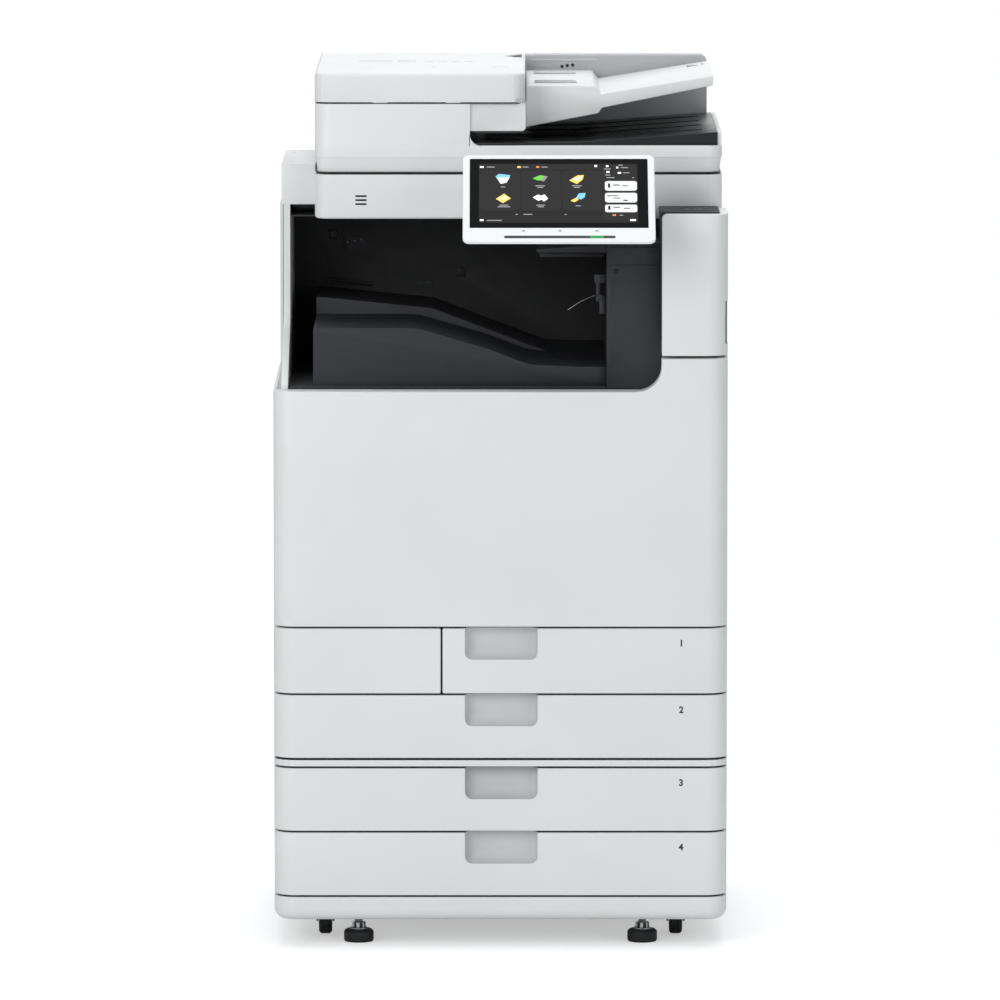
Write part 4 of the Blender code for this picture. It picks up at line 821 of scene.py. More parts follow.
@dataclass
class FrontPanels:
    """The tall front cover, the small door, the four drawers and what is printed on them."""

    corner: float = 0.030
    edge: float = 0.0019
    skin: float = 0.012
    pocket_width: float = 0.0995
    pocket_height: float = 0.0425
    pocket_depth: float = 0.0185
    pocket_round: float = 0.010
    pocket_x: float = 0.001
    numeral_x: float = 0.247
    numeral_drop: float = 0.0202
    numeral_height: float = 0.0088
    numeral_weight: float = 0.00042
    fillet: float = 0.034
    # Height of the black strips of painted seam shade, and their inset from the panel's edge.
    seal_height: float = 0.0021
    seal_inset: float = 0.0086
    drawers: list[str] = field(default_factory=lambda: [f"drawer_{number}" for number in range(1, 5)])

    def __post_init__(self) -> None:
        """Read the planes that every panel shares."""
        low, high = span("front_cover")
        self.front = low[1]
        self.back = high[1]
        self.half = high[0]
        self.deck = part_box("bay_liner")[0].z - 0.0003

    def radii(self, x: Point) -> list[float]:
        """The corner radii of a panel: large where it reaches the machine's side, small elsewhere."""
        left = self.corner if abs(x[0] + self.half) < 0.001 else self.edge
        right = self.corner if abs(x[1] - self.half) < 0.001 else self.edge
        return [left, right, self.edge, self.edge]

    def slab(self, x: Point, z: Point) -> Mesh:
        """A panel's outer shell with rounded rims."""
        rim = quarter_rim(z[0], z[1], self.edge, self.edge)
        return swept_slab("slab", (x[0], self.front, 0), (x[1], self.back, 0), self.radii(x), "z", rim, 14)

    def scoop(self, top: float, rise: float = 0.004) -> Mesh:
        """The hollow of a finger pocket, as a closed cutter.

        With s across from -1 to 1 and t up from 0 to 1, the depth is D (1 - |s|^14)^0.4 (1 - (1 - t)^5)^0.5.
        The half width is W / 2 less R - sqrt(R^2 - (R - h)^2) within a height h of R from the lower edge.
        """
        up = np.concatenate([np.linspace(0, 1, 25) ** 1.5, [1.0 + rise / self.pocket_height]])
        height = up * self.pocket_height
        short = np.clip(self.pocket_round - height, 0, None)
        half = self.pocket_width / 2 - self.pocket_round + np.sqrt(self.pocket_round**2 - short**2)
        across = np.sin(np.linspace(-np.pi / 2, np.pi / 2, 49))
        side = (1 - np.abs(across) ** 14) ** 0.4
        deep = np.sqrt(1 - (1 - np.clip(up, 0, 1)) ** 5)
        depth = self.pocket_depth * deep[:, None] * side[None]
        x = self.pocket_x + half[:, None] * across[None]
        z = np.broadcast_to((top - self.pocket_height + height)[:, None], x.shape)
        inner = np.stack([x, self.front + depth, z], -1)
        outer = np.stack([x, np.full_like(x, self.front - 0.003), z], -1)[:, ::-1]
        return lofted(np.concatenate([inner, outer], 1), "scoop")

    def shade_pocket(self, piece: Piece, top: float) -> None:
        """Give the faces inside a finger pocket a darker grey finish, as painted shade."""
        # Painted shade: faces inside the pocket take the darker grey finish.
        piece.data.materials.append(Finish.POCKET.material())
        middles = np.empty(len(piece.data.polygons) * 3)
        piece.data.polygons.foreach_get("center", middles)
        x, y, z = middles.reshape(-1, 3).T
        inside = (y > self.front + 0.0001) & (np.abs(x - self.pocket_x) < self.pocket_width / 2)
        inside &= (z > top - self.pocket_height) & (z < top) & (y < self.front + self.pocket_depth + 0.0005)
        piece.data.polygons.foreach_set("material_index", inside.astype(np.int32))

    def seal(self, name: str, x: Point, z: float, body: str, inset: float, pocket: bool) -> None:
        """A black strip that lies in the gap over a panel, as painted shade in the seam."""
        low = (x[0] + inset, self.front + inset, z - 0.0002)
        high = (x[1] - inset, self.back - OVER, z + self.seal_height)
        radii = [max(radius - inset, 0.0005) for radius in self.radii(x)]
        # Painted shade: a black strip set in the gap so that the seam reads dark.
        piece = detail(name, [rounded_slab(name, low, high, radii, "z", 0.0002, 8)], Finish.RUBBER, body)
        if pocket:
            carve(piece, [self.scoop(z, 0.010)])

    def cover(self) -> None:
        """The front cover: a hollow shell with a raised right end and a concave corner beside the bay."""
        low, high = span("front_cover")
        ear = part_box("bay_column")[1].x
        piece = stand_in("front_cover", self.slab((low[0], high[0]), (low[2], self.deck)), Finish.WHITE, 35,
                         "front_cover_shell")
        turn = np.linspace(0, np.pi / 2, 15)
        radius = self.fillet
        curve = np.stack([ear - radius + radius * np.sin(turn),
                          self.deck + radius - radius * np.cos(turn)], -1)
        rim = self.edge
        corner = self.corner
        arc = np.linspace(np.pi, np.pi / 2, 9)
        top = np.stack([ear + rim + rim * np.cos(arc), high[2] - rim + rim * np.sin(arc)], -1)
        outline = np.concatenate([[[ear - radius, self.deck - 0.004]], curve, top,
                                  [[high[0], high[2]], [high[0], self.deck - 0.004]]])
        ring = [np.stack([outline[:, 0], np.full(len(outline), y), outline[:, 1]], -1)
                for y in (self.front, self.back)]
        block = linked("ear", lofted(np.array(ring), "ear"))
        settled(soften(block, 0.0014))
        keeper = swept_slab("keeper", (low[0], self.front, 0), (high[0], self.back, 0),
                            [corner, corner, 0, 0], "z",
                            quarter_rim(self.deck - 0.01, high[2], 0.0001, self.edge), 14)
        combined(block, keeper, "INTERSECT")
        combined(piece, block.data, "UNION")
        bpy.data.objects.remove(block)
        hollow = brick((low[0] + corner, self.front + self.skin, low[2] + 0.020),
                       (high[0] - corner, self.back + PAST, self.deck - 0.006))
        slots = [brick((x - 0.0063, self.back - 0.021, low[2] - PAST),
                       (x + 0.0063, self.back + PAST, low[2] + 0.011))
                 for x in (low[0] + 0.060, high[0] - 0.060)]
        carve(piece, [hollow] + slots)
        resharpened(piece, 40)
        ribs = [brick((x - 0.0012, self.front + self.skin - 0.001, low[2] + 0.021),
                      (x + 0.0012, self.front + self.skin + 0.008, self.deck - 0.007))
                for x in np.linspace(low[0] + 0.09, high[0] - 0.09, 6)]
        detail("front_cover_ribs", ribs, Finish.WARM_WHITE, NODE_BODY["front_cover"])

    def small_door(self) -> None:
        """The waste toner door, hollow behind, with its magnet catch plate."""
        low, high = span("waste_toner_door")
        piece = stand_in("waste_toner_door", self.slab((low[0], high[0]), (low[2], high[2])), Finish.WHITE,
                         35, "waste_door_shell")
        hollow = brick((low[0] + self.corner, self.front + self.skin, low[2] + 0.012),
                       (high[0] - 0.006, self.back + PAST, high[2] - 0.0142))
        relief = brick((low[0] - PAST, self.front + 0.022, high[2] - 0.008),
                       (high[0] + PAST, self.back + PAST, high[2] + PAST))
        carve(piece, [hollow, relief])
        tongue = kept("waste_toner_door", (low[0], self.back - 0.0005, low[2]),
                      (high[0], high[1] + OVER, high[2]))
        detail("waste_door_tongue", [tongue], Finish.WARM_WHITE, NODE_BODY["waste_toner_door"])
        # Painted shade in the seam over the door.
        self.seal("waste_door_seal", (low[0], high[0]), high[2], NODE_BODY["waste_toner_door"],
                  self.seal_inset, False)

    def drawer(self, node: str, number: int) -> None:
        """A drawer: its front with a scooped pocket, the tray behind, a numeral and a black strip of painted
        shade in the seam over it.
        """
        low, high = span(node)
        body = NODE_BODY[node]
        piece = stand_in(node, self.slab((low[0], high[0]), (low[2], high[2])), Finish.WHITE, 35,
                         node + "_front")
        carve(piece, [self.scoop(high[2])])
        resharpened(piece, 48, True)
        self.shade_pocket(piece, high[2])
        tray = kept(node, (low[0] - OVER, self.back - 0.0008, low[2] - OVER), high + 0.001)
        body_piece = detail(node + "_tray", [tray], Finish.PALE, body)
        settled(soften(body_piece, 0.0006, 2))
        place = (self.numeral_x, self.front - 0.00002, high[2] - self.numeral_drop)
        mark = lettering(str(number), self.numeral_height, place, FACING_FRONT, 0.00008,
                         self.numeral_weight)
        detail(node + "_numeral", [mark], Finish.INK, body)
        # Painted shade: a black strip in the seam over the drawer.
        inset = self.seal_inset if number == 1 else 0.0045
        self.seal(node + "_seal", (low[0], high[0]), high[2], body, inset, True)
        if number == 1:
            # Painted shade: a black strip in the seam beside the first drawer.
            strip = brick((low[0] - self.seal_height, self.front + 0.0045, low[2] + PAST),
                          (low[0] + 0.0002, self.back - OVER, high[2] - PAST))
            detail(node + "_side_seal", [strip], Finish.RUBBER, body)

    def build(self) -> None:
        """Make every front panel."""
        self.cover()
        self.small_door()
        for number, node in enumerate(self.drawers, start=1):
            self.drawer(node, number)
        low, high = span("base_skirt")
        # Painted shade in the seam over the skirt.
        self.seal("skirt_seal", (low[0], high[0]), high[2], NODE_BODY["base_skirt"], 0.0045, False)
        log.info("front panels ready")


def prism_xz(outline: Sequence[Point], y: Point, name: str = "prism") -> Mesh:
    """An outline in the x, z plane carried along y."""
    flat = np.array(outline, float)
    return lofted(np.stack([np.stack([flat[:, 0], np.full(len(flat), level), flat[:, 1]], -1)
                            for level in y]), name)


def fan(centre: Point, radius: float, start: float, end: float, steps: int = 10) -> list[list[float]]:
    """Points of an arc, with its angles in degrees."""
    turn = np.radians(np.linspace(start, end, steps + 1))
    return np.stack([centre[0] + radius * np.cos(turn), centre[1] + radius * np.sin(turn)], -1).tolist()


def disc(centre: Point, radius: float, axis: str, length: float, edge: float = 0.0002) -> Mesh:
    """A short round plug with a rounded rim, centred on a point and lying along an axis."""
    place = np.array(centre, float)
    reach = np.full(3, radius)
    reach["xyz".index(axis)] = length / 2
    return rounded_slab("disc", place - reach, place + reach, [radius] * 4, axis, edge, 6)


# ------------------------------------------------------------------- the panel


@dataclass(frozen=True)
class Icon:
    """A coloured picture on the screen: where it lies and the outlines that make it up."""

    at: tuple[float, float]
    shapes: tuple[tuple[Finish, tuple[tuple[float, float], ...]], ...]


ICONS = (Icon((-75.6, 30.0), ((Finish.UI_BLUE, ((-1, .5), (-.5, 1), (.95, .75), (.8, .1), (-.75, 0))),
                              (Finish.UI_WHITE, ((-.8, .2), (.85, .25), (.45, -.75), (-.3, -1))))),
         Icon((-25.2, 30.0), ((Finish.UI_GREY, ((.05, -.35), (.5, .6), (1, .5), (.5, -.55))),
                              (Finish.UI_GREEN, ((-1, .1), (0, .75), (.55, .6), (.2, -.25),
                                                 (-.3, -.35))))),
         Icon((24.4, 29.0), ((Finish.UI_YELLOW, ((-1, -.2), (.1, .8), (.95, .85), (.75, -.1), (0, -.95))),
                             (Finish.UI_WHITE, ((-.4, .05), (.25, .55), (.65, .4), (.05, -.35))))),
         Icon((-75.2, -10.5), ((Finish.UI_YELLOW, ((-1, -.1), (.1, .95), (1, 0), (-.05, -.95))),
                               (Finish.UI_WHITE, ((-.35, .1), (.15, .45), (.5, .1), (-.05, -.25))))),
         Icon((-25.0, -9.5), ((Finish.UI_WHITE, ((-1, .1), (-.3, .65), (.1, .4), (.55, .7), (1, -.15),
                                                 (.45, -.75), (.15, -.3), (-.25, -.6))),)),
         Icon((26.0, -9.0), ((Finish.UI_BLUE, ((-.3, -.1), (.1, .85), (1, .95), (.85, .05), (.4, -.35))),
                             (Finish.UI_YELLOW, ((-1, -.6), (-.3, -.05), (.1, -.4), (-.5, -.95))))))
BARS = ((Finish.UI_TEXT, 1.5, ((-75.6, 13.2, 6), (-25.2, 15.6, 13), (-25.2, 12.2, 8), (24.4, 15.6, 13),
                               (24.4, 12.2, 8), (-74.5, -24.5, 12), (-74.5, -28, 17), (-24.5, -24.5, 12),
                               (-24.5, -28, 8), (26, -26, 7), (-92.3, 54.6, 10.7), (-45, 54.6, 7.7),
                               (-19.2, 54.6, 8.7), (50.3, 55, 3.2), (89.2, 53.4, 9.7), (91.6, 42.6, 8.7),
                               (70.2, 32.6, 10.7), (100.9, 32.4, 2.6), (-57.2, -43.5, 3),
                               (-42.1, -43.5, 11.7), (8.9, -43.8, 2.4), (-87.4, -56, 20.4),
                               (83.9, -45.2, 4.9), (84, 58.6, 6), (65.9, 50.6, 9), (66.5, 38, 7))),
        (Finish.UI_WHITE, 3.4, ((-104.4, 54.6, 5), (65.9, 56.4, 3.6), (66.8, 44.4, 4.4), (79.5, 53.6, 2.8),
                                (82.4, 42.4, 4.6), (99.9, -55.4, 7.8), (-104.4, -55.4, 5),
                                (50.3, 57.2, 3.6))), (Finish.UI_YELLOW, 3.6, ((-53.8, 54.6, 5),)),
        (Finish.UI_ORANGE, 3.6, ((-28.5, 54.6, 4.4), (74.6, -45, 4.6))),
        (Finish.UI_LIGHT, 20.0, ((84.1, 15.4, 43.4), (84.1, -9, 43.4))),
        (Finish.UI_LIGHT, 15.6, ((84.1, -31.2, 43.4),)))
NOTES = ((68, 16, 3, 9), (78, 17, 9, 2), (90, 15.6, 8, 1.6), (73, -5, 14, 1.6), (78, -10, 10, 1.6),
         (90, -14.6, 6, 2.4), (68, -30, 3, 8), (78, -29, 9, 1.8), (92, -31, 9, 1.6), (67.5, -5.2, 4, 2))


@dataclass
class Panel:
    """The tilting control panel: a thin framed plate with a tapered back, its glass and what it shows."""

    plate: float = 0.0040
    rim: float = 0.0012
    corner: float = 0.0085
    side_taper: float = 0.0060
    foot_taper: float = 0.0172
    glass_corner: float = 0.0018
    lamp_bar: tuple[float, float, float, float] = (-0.0742, -0.0929, 0.0761, -0.0873)
    lamp_depth: float = 0.0010
    lit: tuple[float, float] = (0.0415, 0.0601)
    depth: float = 0.016
    mark_columns: Point = (-48, 1.2, 50.6)
    mark_bars: tuple[Point, ...] = ((-78.2, 5.2, 0.9), (-76.9, 2.2, 1.3))
    mark_sunk: float = 0.0002
    mark_proud: float = 0.00004
    picture: tuple[Point, Point] = ((-0.1083, -0.0609), (0.1069, 0.0615))
    layer: float = 0.00003
    tile_columns: Point = (-79.8, -23.9, 32.0)
    icon_size: float = 0.0103

    def __post_init__(self) -> None:
        """Find the glass's own frame: its middle, and its right, up and outward axes."""
        mesh = cad_copy("panel_screen")
        face = max((item for item in mesh.polygons if item.normal.y < -0.1), key=lambda item: item.area)
        out = np.array(face.normal)
        right = np.array([1.0, 0.0, 0.0])
        up = np.cross(out, right)
        corners = np.array([mesh.vertices[index].co for index in face.vertices])
        self.axes = np.stack([right, up, out])
        flat = corners @ self.axes.T
        self.middle = ((flat.min(0) + flat.max(0)) / 2) @ self.axes
        self.glass = (flat.max(0) - flat.min(0))[:2] / 2
        bpy.data.meshes.remove(mesh)
        mesh = cad_copy("panel_housing")
        points = (np.array([vertex.co for vertex in mesh.vertices]) - self.middle) @ self.axes.T
        bpy.data.meshes.remove(mesh)
        face = points[points[:, 2] > points[:, 2].max() - 0.001]
        self.low, self.high = face.min(0), face.max(0)

    def world(self, points: np.ndarray) -> np.ndarray:
        """Points from the glass's frame to the model's."""
        return points @ self.axes + self.middle

    def flat(self, outline: np.ndarray, low: float, high: float) -> Mesh:
        """An outline in the glass's plane, carried from one level to another."""
        rings = [at_level(outline, level) for level in (low, high)]
        return lofted(self.world(np.array(rings)), "flat")

    def bar(self, u: float, v: float, width: float, height: float, low: float, high: float) -> Mesh:
        """A small bar with round corners in the glass's plane, given in millimetres."""
        middle = np.array([u, v]) / 1000
        half = np.array([width, height]) / 2000
        return self.flat(round_outline(middle - half, middle + half, [min(half) * 0.35] * 4, 2), low, high)

    def shell(self) -> None:
        """The housing: the model's own, trimmed by a rounded plate with a tapered back."""
        turn = np.linspace(0, np.pi / 2, 5)
        rows = [(self.rim * (1 - math.sin(t)),) * 2 + (-self.rim * (1 - math.cos(t)),) for t in turn]
        rows += [(0.0, 0.0, -self.plate), (0.0004, 0.0008, -self.plate - 0.0004)]
        rows += [(self.side_taper, self.foot_taper, -self.depth),
                 (self.side_taper, self.foot_taper, -self.depth * 3)]
        rings = []
        for side, foot, level in rows:
            low = np.array([self.low[0] + side, self.low[1] + foot])
            outline = round_outline(low, self.high[:2] - side, [self.corner] * 4, 8)
            rings.append(at_level(outline, self.high[2] + level))
        trim = lofted(self.world(np.array(rings)), "trim")
        shell = stand_in("panel_housing", common("panel", cad_copy("panel_housing"), trim), Finish.BRIGHT)
        low, high = np.array(self.lamp_bar[:2]), np.array(self.lamp_bar[2:])
        top = self.high[2]
        groove = round_outline(low, high, [0.0024] * 4, 6)
        carve(shell, [self.flat(groove, top - self.lamp_depth, top + OVER)])
        resharpened(shell, 38)
        body = NODE_BODY["panel_housing"]
        inset = round_outline(low + 0.0001, high - 0.0001, [0.0023] * 4, 6)
        detail("panel_bar", [self.flat(inset, top - self.lamp_depth - 0.0002, top - 0.0003)], Finish.BLACK,
               body)
        lamp = round_outline((self.lit[0], low[1] + 0.0006), (self.lit[1], high[1] - 0.0006), [0.001] * 4,
                             3)
        detail("panel_lamp", [self.flat(lamp, top - 0.0006, top - 0.0001)], Finish.LAMP, body)
        base = [self.bar(u, *bar, top - self.mark_sunk, top + self.mark_proud)
                for bar in self.mark_bars for u in self.mark_columns]
        detail("panel_marks", base, Finish.INK, body)

    def screen(self) -> None:
        """The glass and the picture on it."""
        body = NODE_BODY["panel_screen"]
        glass = round_outline(-self.glass, self.glass, [self.glass_corner] * 4, 5)
        shape = common("glass", cad_copy("panel_screen"), self.flat(glass, -0.02, 0.00001))
        stand_in("panel_screen", shape, Finish.SCREEN)
        step = self.layer
        lit = round_outline(*self.picture, [0.0004] * 4, 2)
        detail("picture_ground", [self.flat(lit, 0.0, step)], Finish.UI_GROUND, body)
        tiles = [self.bar(u, 5.5, 54.5, 84, step, 2 * step) for u in self.tile_columns]
        tiles += [self.bar(-24, 54.6, 160, 9.5, step, 2 * step), self.bar(82, 1, 47, 116, step, 2 * step)]
        detail("picture_tiles", tiles, Finish.UI_TILE, body)
        layers: dict[Finish, list[Mesh]] = {}
        for finish, height, bars in BARS:
            layers.setdefault(finish, []).extend(self.bar(*bar, height, 2 * step, 3 * step) for bar in bars)
        for icon in ICONS:
            for rank, (finish, outline) in enumerate(icon.shapes):
                points = np.array(outline, float) * self.icon_size + np.array(icon.at) / 1000
                layers.setdefault(finish, []).append(self.flat(points, 2 * step, (4 + rank) * step))
        for finish, meshes in layers.items():
            detail("picture_" + finish.name.lower(), meshes, finish, body)
        marks = [self.bar(u, v, width, height, 3 * step, 4 * step) for u, v, width, height in NOTES]
        detail("picture_notes", marks, Finish.UI_TILE, body)

    def build(self) -> None:
        """Make the panel."""
        self.shell()
        self.screen()
        log.info("control panel ready")


# --------------------------------------------------------- skirt, rail, right top


@dataclass
class Base:
    """The rounded skirt round the foot of the machine."""

    corner: float = 0.030
    under: float = 0.0150
    edge: float = 0.0016

    def build(self) -> None:
        """Trim the skirt by a shape with a large round lower edge."""
        low, high = span("base_skirt")
        rim = quarter_rim(low[2], high[2], self.under, self.edge, 8)
        shape = swept_slab("skirt", low, high, [self.corner, self.corner, 0.004, 0.004], "z", rim, 14)
        stand_in("base_skirt", common("skirt", cad_copy("base_skirt"), shape), Finish.WHITE, 30)
        log.info("skirt ready")


@dataclass
class RightTop:
    """The cover beside the panel: a white skin round a black core, with the door latch in its side."""

    corner: float = 0.030
    shoulder: float = 0.0075
    edge: float = 0.0015
    skin: float = 0.0185
    wall: float = 0.0115
    rise: float = 0.0022
    mark_half: float = 0.0035
    marks: tuple[Point, ...] = ((0.2545, 0.006), (0.2655, 0.0035), (0.2715, 0.0045))
    dot: Point = (0.2625, 0.010)
    dot_radius: float = 0.0016
    rib_radius: float = 0.0008
    rib_heights: Point = (0.012, 0.034)

    def build(self) -> None:
        """Make the cover, its core, the marks on it and the latch."""
        node = "right_top_cover"
        body = NODE_BODY[node]
        low, high = span(node)
        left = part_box("bay_column")[1].x + 0.0003
        top = high[2] - self.rise
        rim = quarter_rim(low[2], top, self.edge, self.edge)
        skin = swept_slab("skin", (left, low[1], 0), (high[0], high[1], 0),
                          [self.edge, self.corner, 0.001, 0.001], "z", rim, 14)
        round_at = (left + self.shoulder, top - self.shoulder)
        shape = [[left - OVER, low[2] - OVER], [high[0] + OVER, low[2] - OVER],
                 [high[0] + OVER, top + OVER], [round_at[0], top + OVER],
                 *fan(round_at, self.shoulder, 90, 180), [left - OVER, round_at[1]]]
        piece = stand_in(node, common("skin", skin, prism_xz(shape, (low[1] - OVER, high[1] + OVER))),
                         Finish.WHITE)
        core_low = np.array([low[0], low[1] + self.skin, low[2] + 0.02])
        core_high = np.array([high[0] - self.wall, high[1], high[2]])
        latch_low, latch_high = span("door_latch")
        recess = brick((latch_low[0] - 0.0003, latch_low[1] - 0.0004, latch_low[2] - 0.0004),
                       (high[0] + PAST, high[1] + PAST, latch_high[2] + 0.0004), 0.0006)
        gap = rounded_slab("gap", core_low - (0.0, 0.0005, -0.03), core_high + (0.0003, 0.0021, 0.002),
                           [0.0105, 0.0030, 0.001, 0.001], "z", 0.0002, 6)
        carve(piece, [gap])
        carve(piece, [recess])
        resharpened(piece, 40)
        core = rounded_slab("core", core_low, core_high, [0.010, 0.0025, 0.001, 0.001], "z", 0.0009, 8)
        detail("right_top_core", [core], Finish.BAY, body)
        z = high[2]
        middle = (core_low[1] + core_high[1]) / 2
        marks = [brick((x - wide / 2, middle - self.mark_half, z - 0.0003),
                       (x + wide / 2, middle + self.mark_half, z + 0.00002), 0.0001)
                 for x, wide in self.marks]
        marks.append(disc((self.dot[0], middle + self.dot[1], z - 0.0002), self.dot_radius, "z", 0.0005))
        detail("right_top_marks", marks, Finish.MID, body)
        # Painted shade: thin black sheets on the inner wall and ceiling of the latch recess, so the gap
        # round the latch reads dark.
        lining = [brick((latch_low[0] - 0.0005, latch_low[1] - 0.0002, latch_low[2] - 0.0003),
                        (latch_low[0] - 0.0001, latch_high[1], latch_high[2] + 0.0003), 0.0001)]
        lining.append(brick((latch_low[0] - 0.0002, latch_low[1] - 0.0003, latch_high[2] + 0.0001),
                            (high[0] - 0.0012, latch_high[1], latch_high[2] + 0.0004), 0.0001))
        detail("latch_lining", lining, Finish.BLACK, body)
        lowest, highest = (latch_low[2] + height for height in self.rib_heights)
        ribs = [disc((latch_high[0] - 0.0014, (latch_low[1] + latch_high[1]) / 2, height), self.rib_radius,
                     "y", (latch_high[1] - latch_low[1]) * 0.9)
                for height in np.linspace(lowest, highest, 6)]
        detail("latch_ribs", ribs, Finish.MID, NODE_BODY["door_latch"])
        fine_node("door_latch", 0.0009, Finish.MID)
        log.info("right top cover ready")


# ------------------------------------------------------------ scanner and feeder


@dataclass
class Scanner:
    """The scanner housing, its edge strip, the glass, and the signal lamp slots in its front."""

    corner: float = 0.022
    under: float = 0.0050
    slot_x: float = -0.1915
    slot_width: float = 0.0155
    slot_height: float = 0.0026
    slot_rises: tuple[float, ...] = (0.0192, 0.0247, 0.0302)

    def build(self) -> None:
        """Make the scanner's pieces."""
        node = "scanner_housing"
        body = NODE_BODY[node]
        low, high = span(node)
        rim = quarter_rim(low[2], high[2] + 0.004, self.under, 0.0005, 6)
        shape = swept_slab("scanner", low - 0.0002, high + 0.0002, [self.corner] * 2 + [0.006] * 2, "z",
                           rim, 12)
        piece = stand_in(node, common("scanner", cad_copy(node), shape), Finish.WHITE, 30)
        cuts = [brick((self.slot_x - self.slot_width / 2, low[1] - PAST, low[2] + rise),
                      (self.slot_x + self.slot_width / 2, low[1] + 0.0022,
                       low[2] + rise + self.slot_height)) for rise in self.slot_rises]
        carve(piece, cuts)
        resharpened(piece, 34)
        inner = [brick((self.slot_x - self.slot_width / 2 + 0.0001, low[1] + 0.0005,
                        low[2] + rise + 0.0001),
                       (self.slot_x + self.slot_width / 2 - 0.0001, low[1] + 0.0020,
                        low[2] + rise + self.slot_height - 0.0001)) for rise in self.slot_rises]
        detail("scanner_slots", inner, Finish.BLACK, body)
        glass_low, glass_high = span("platen_glass")
        scale = [brick((x, glass_low[1] - 0.010, glass_high[2] - 0.0001),
                       (x + 0.0006, glass_low[1] - 0.006 + extra, glass_high[2] + 0.0001), 0.0001)
                 for x, extra in zip(np.linspace(glass_low[0] + 0.02, glass_high[0] - 0.02, 21),
                                     [0.002, 0, 0, 0, 0] * 5)]
        detail("platen_scale", scale, Finish.INK, body)
        fine_node("platen_glass", 0.0006)
        fine_node("scan_carriage", 0.0009)
        low, high = span("scan_carriage")
        lamp = [brick((low[0] + 0.006, low[1] + 0.012, high[2] - 0.0006),
                      (low[0] + 0.013, high[1] - 0.012, high[2])),
                brick((low[0] + 0.018, low[1] + 0.012, high[2] - 0.0006),
                      (low[0] + 0.022, high[1] - 0.012, high[2]))]
        detail("carriage_lamp", lamp, Finish.SHEEN, NODE_BODY["scan_carriage"])
        log.info("scanner ready")


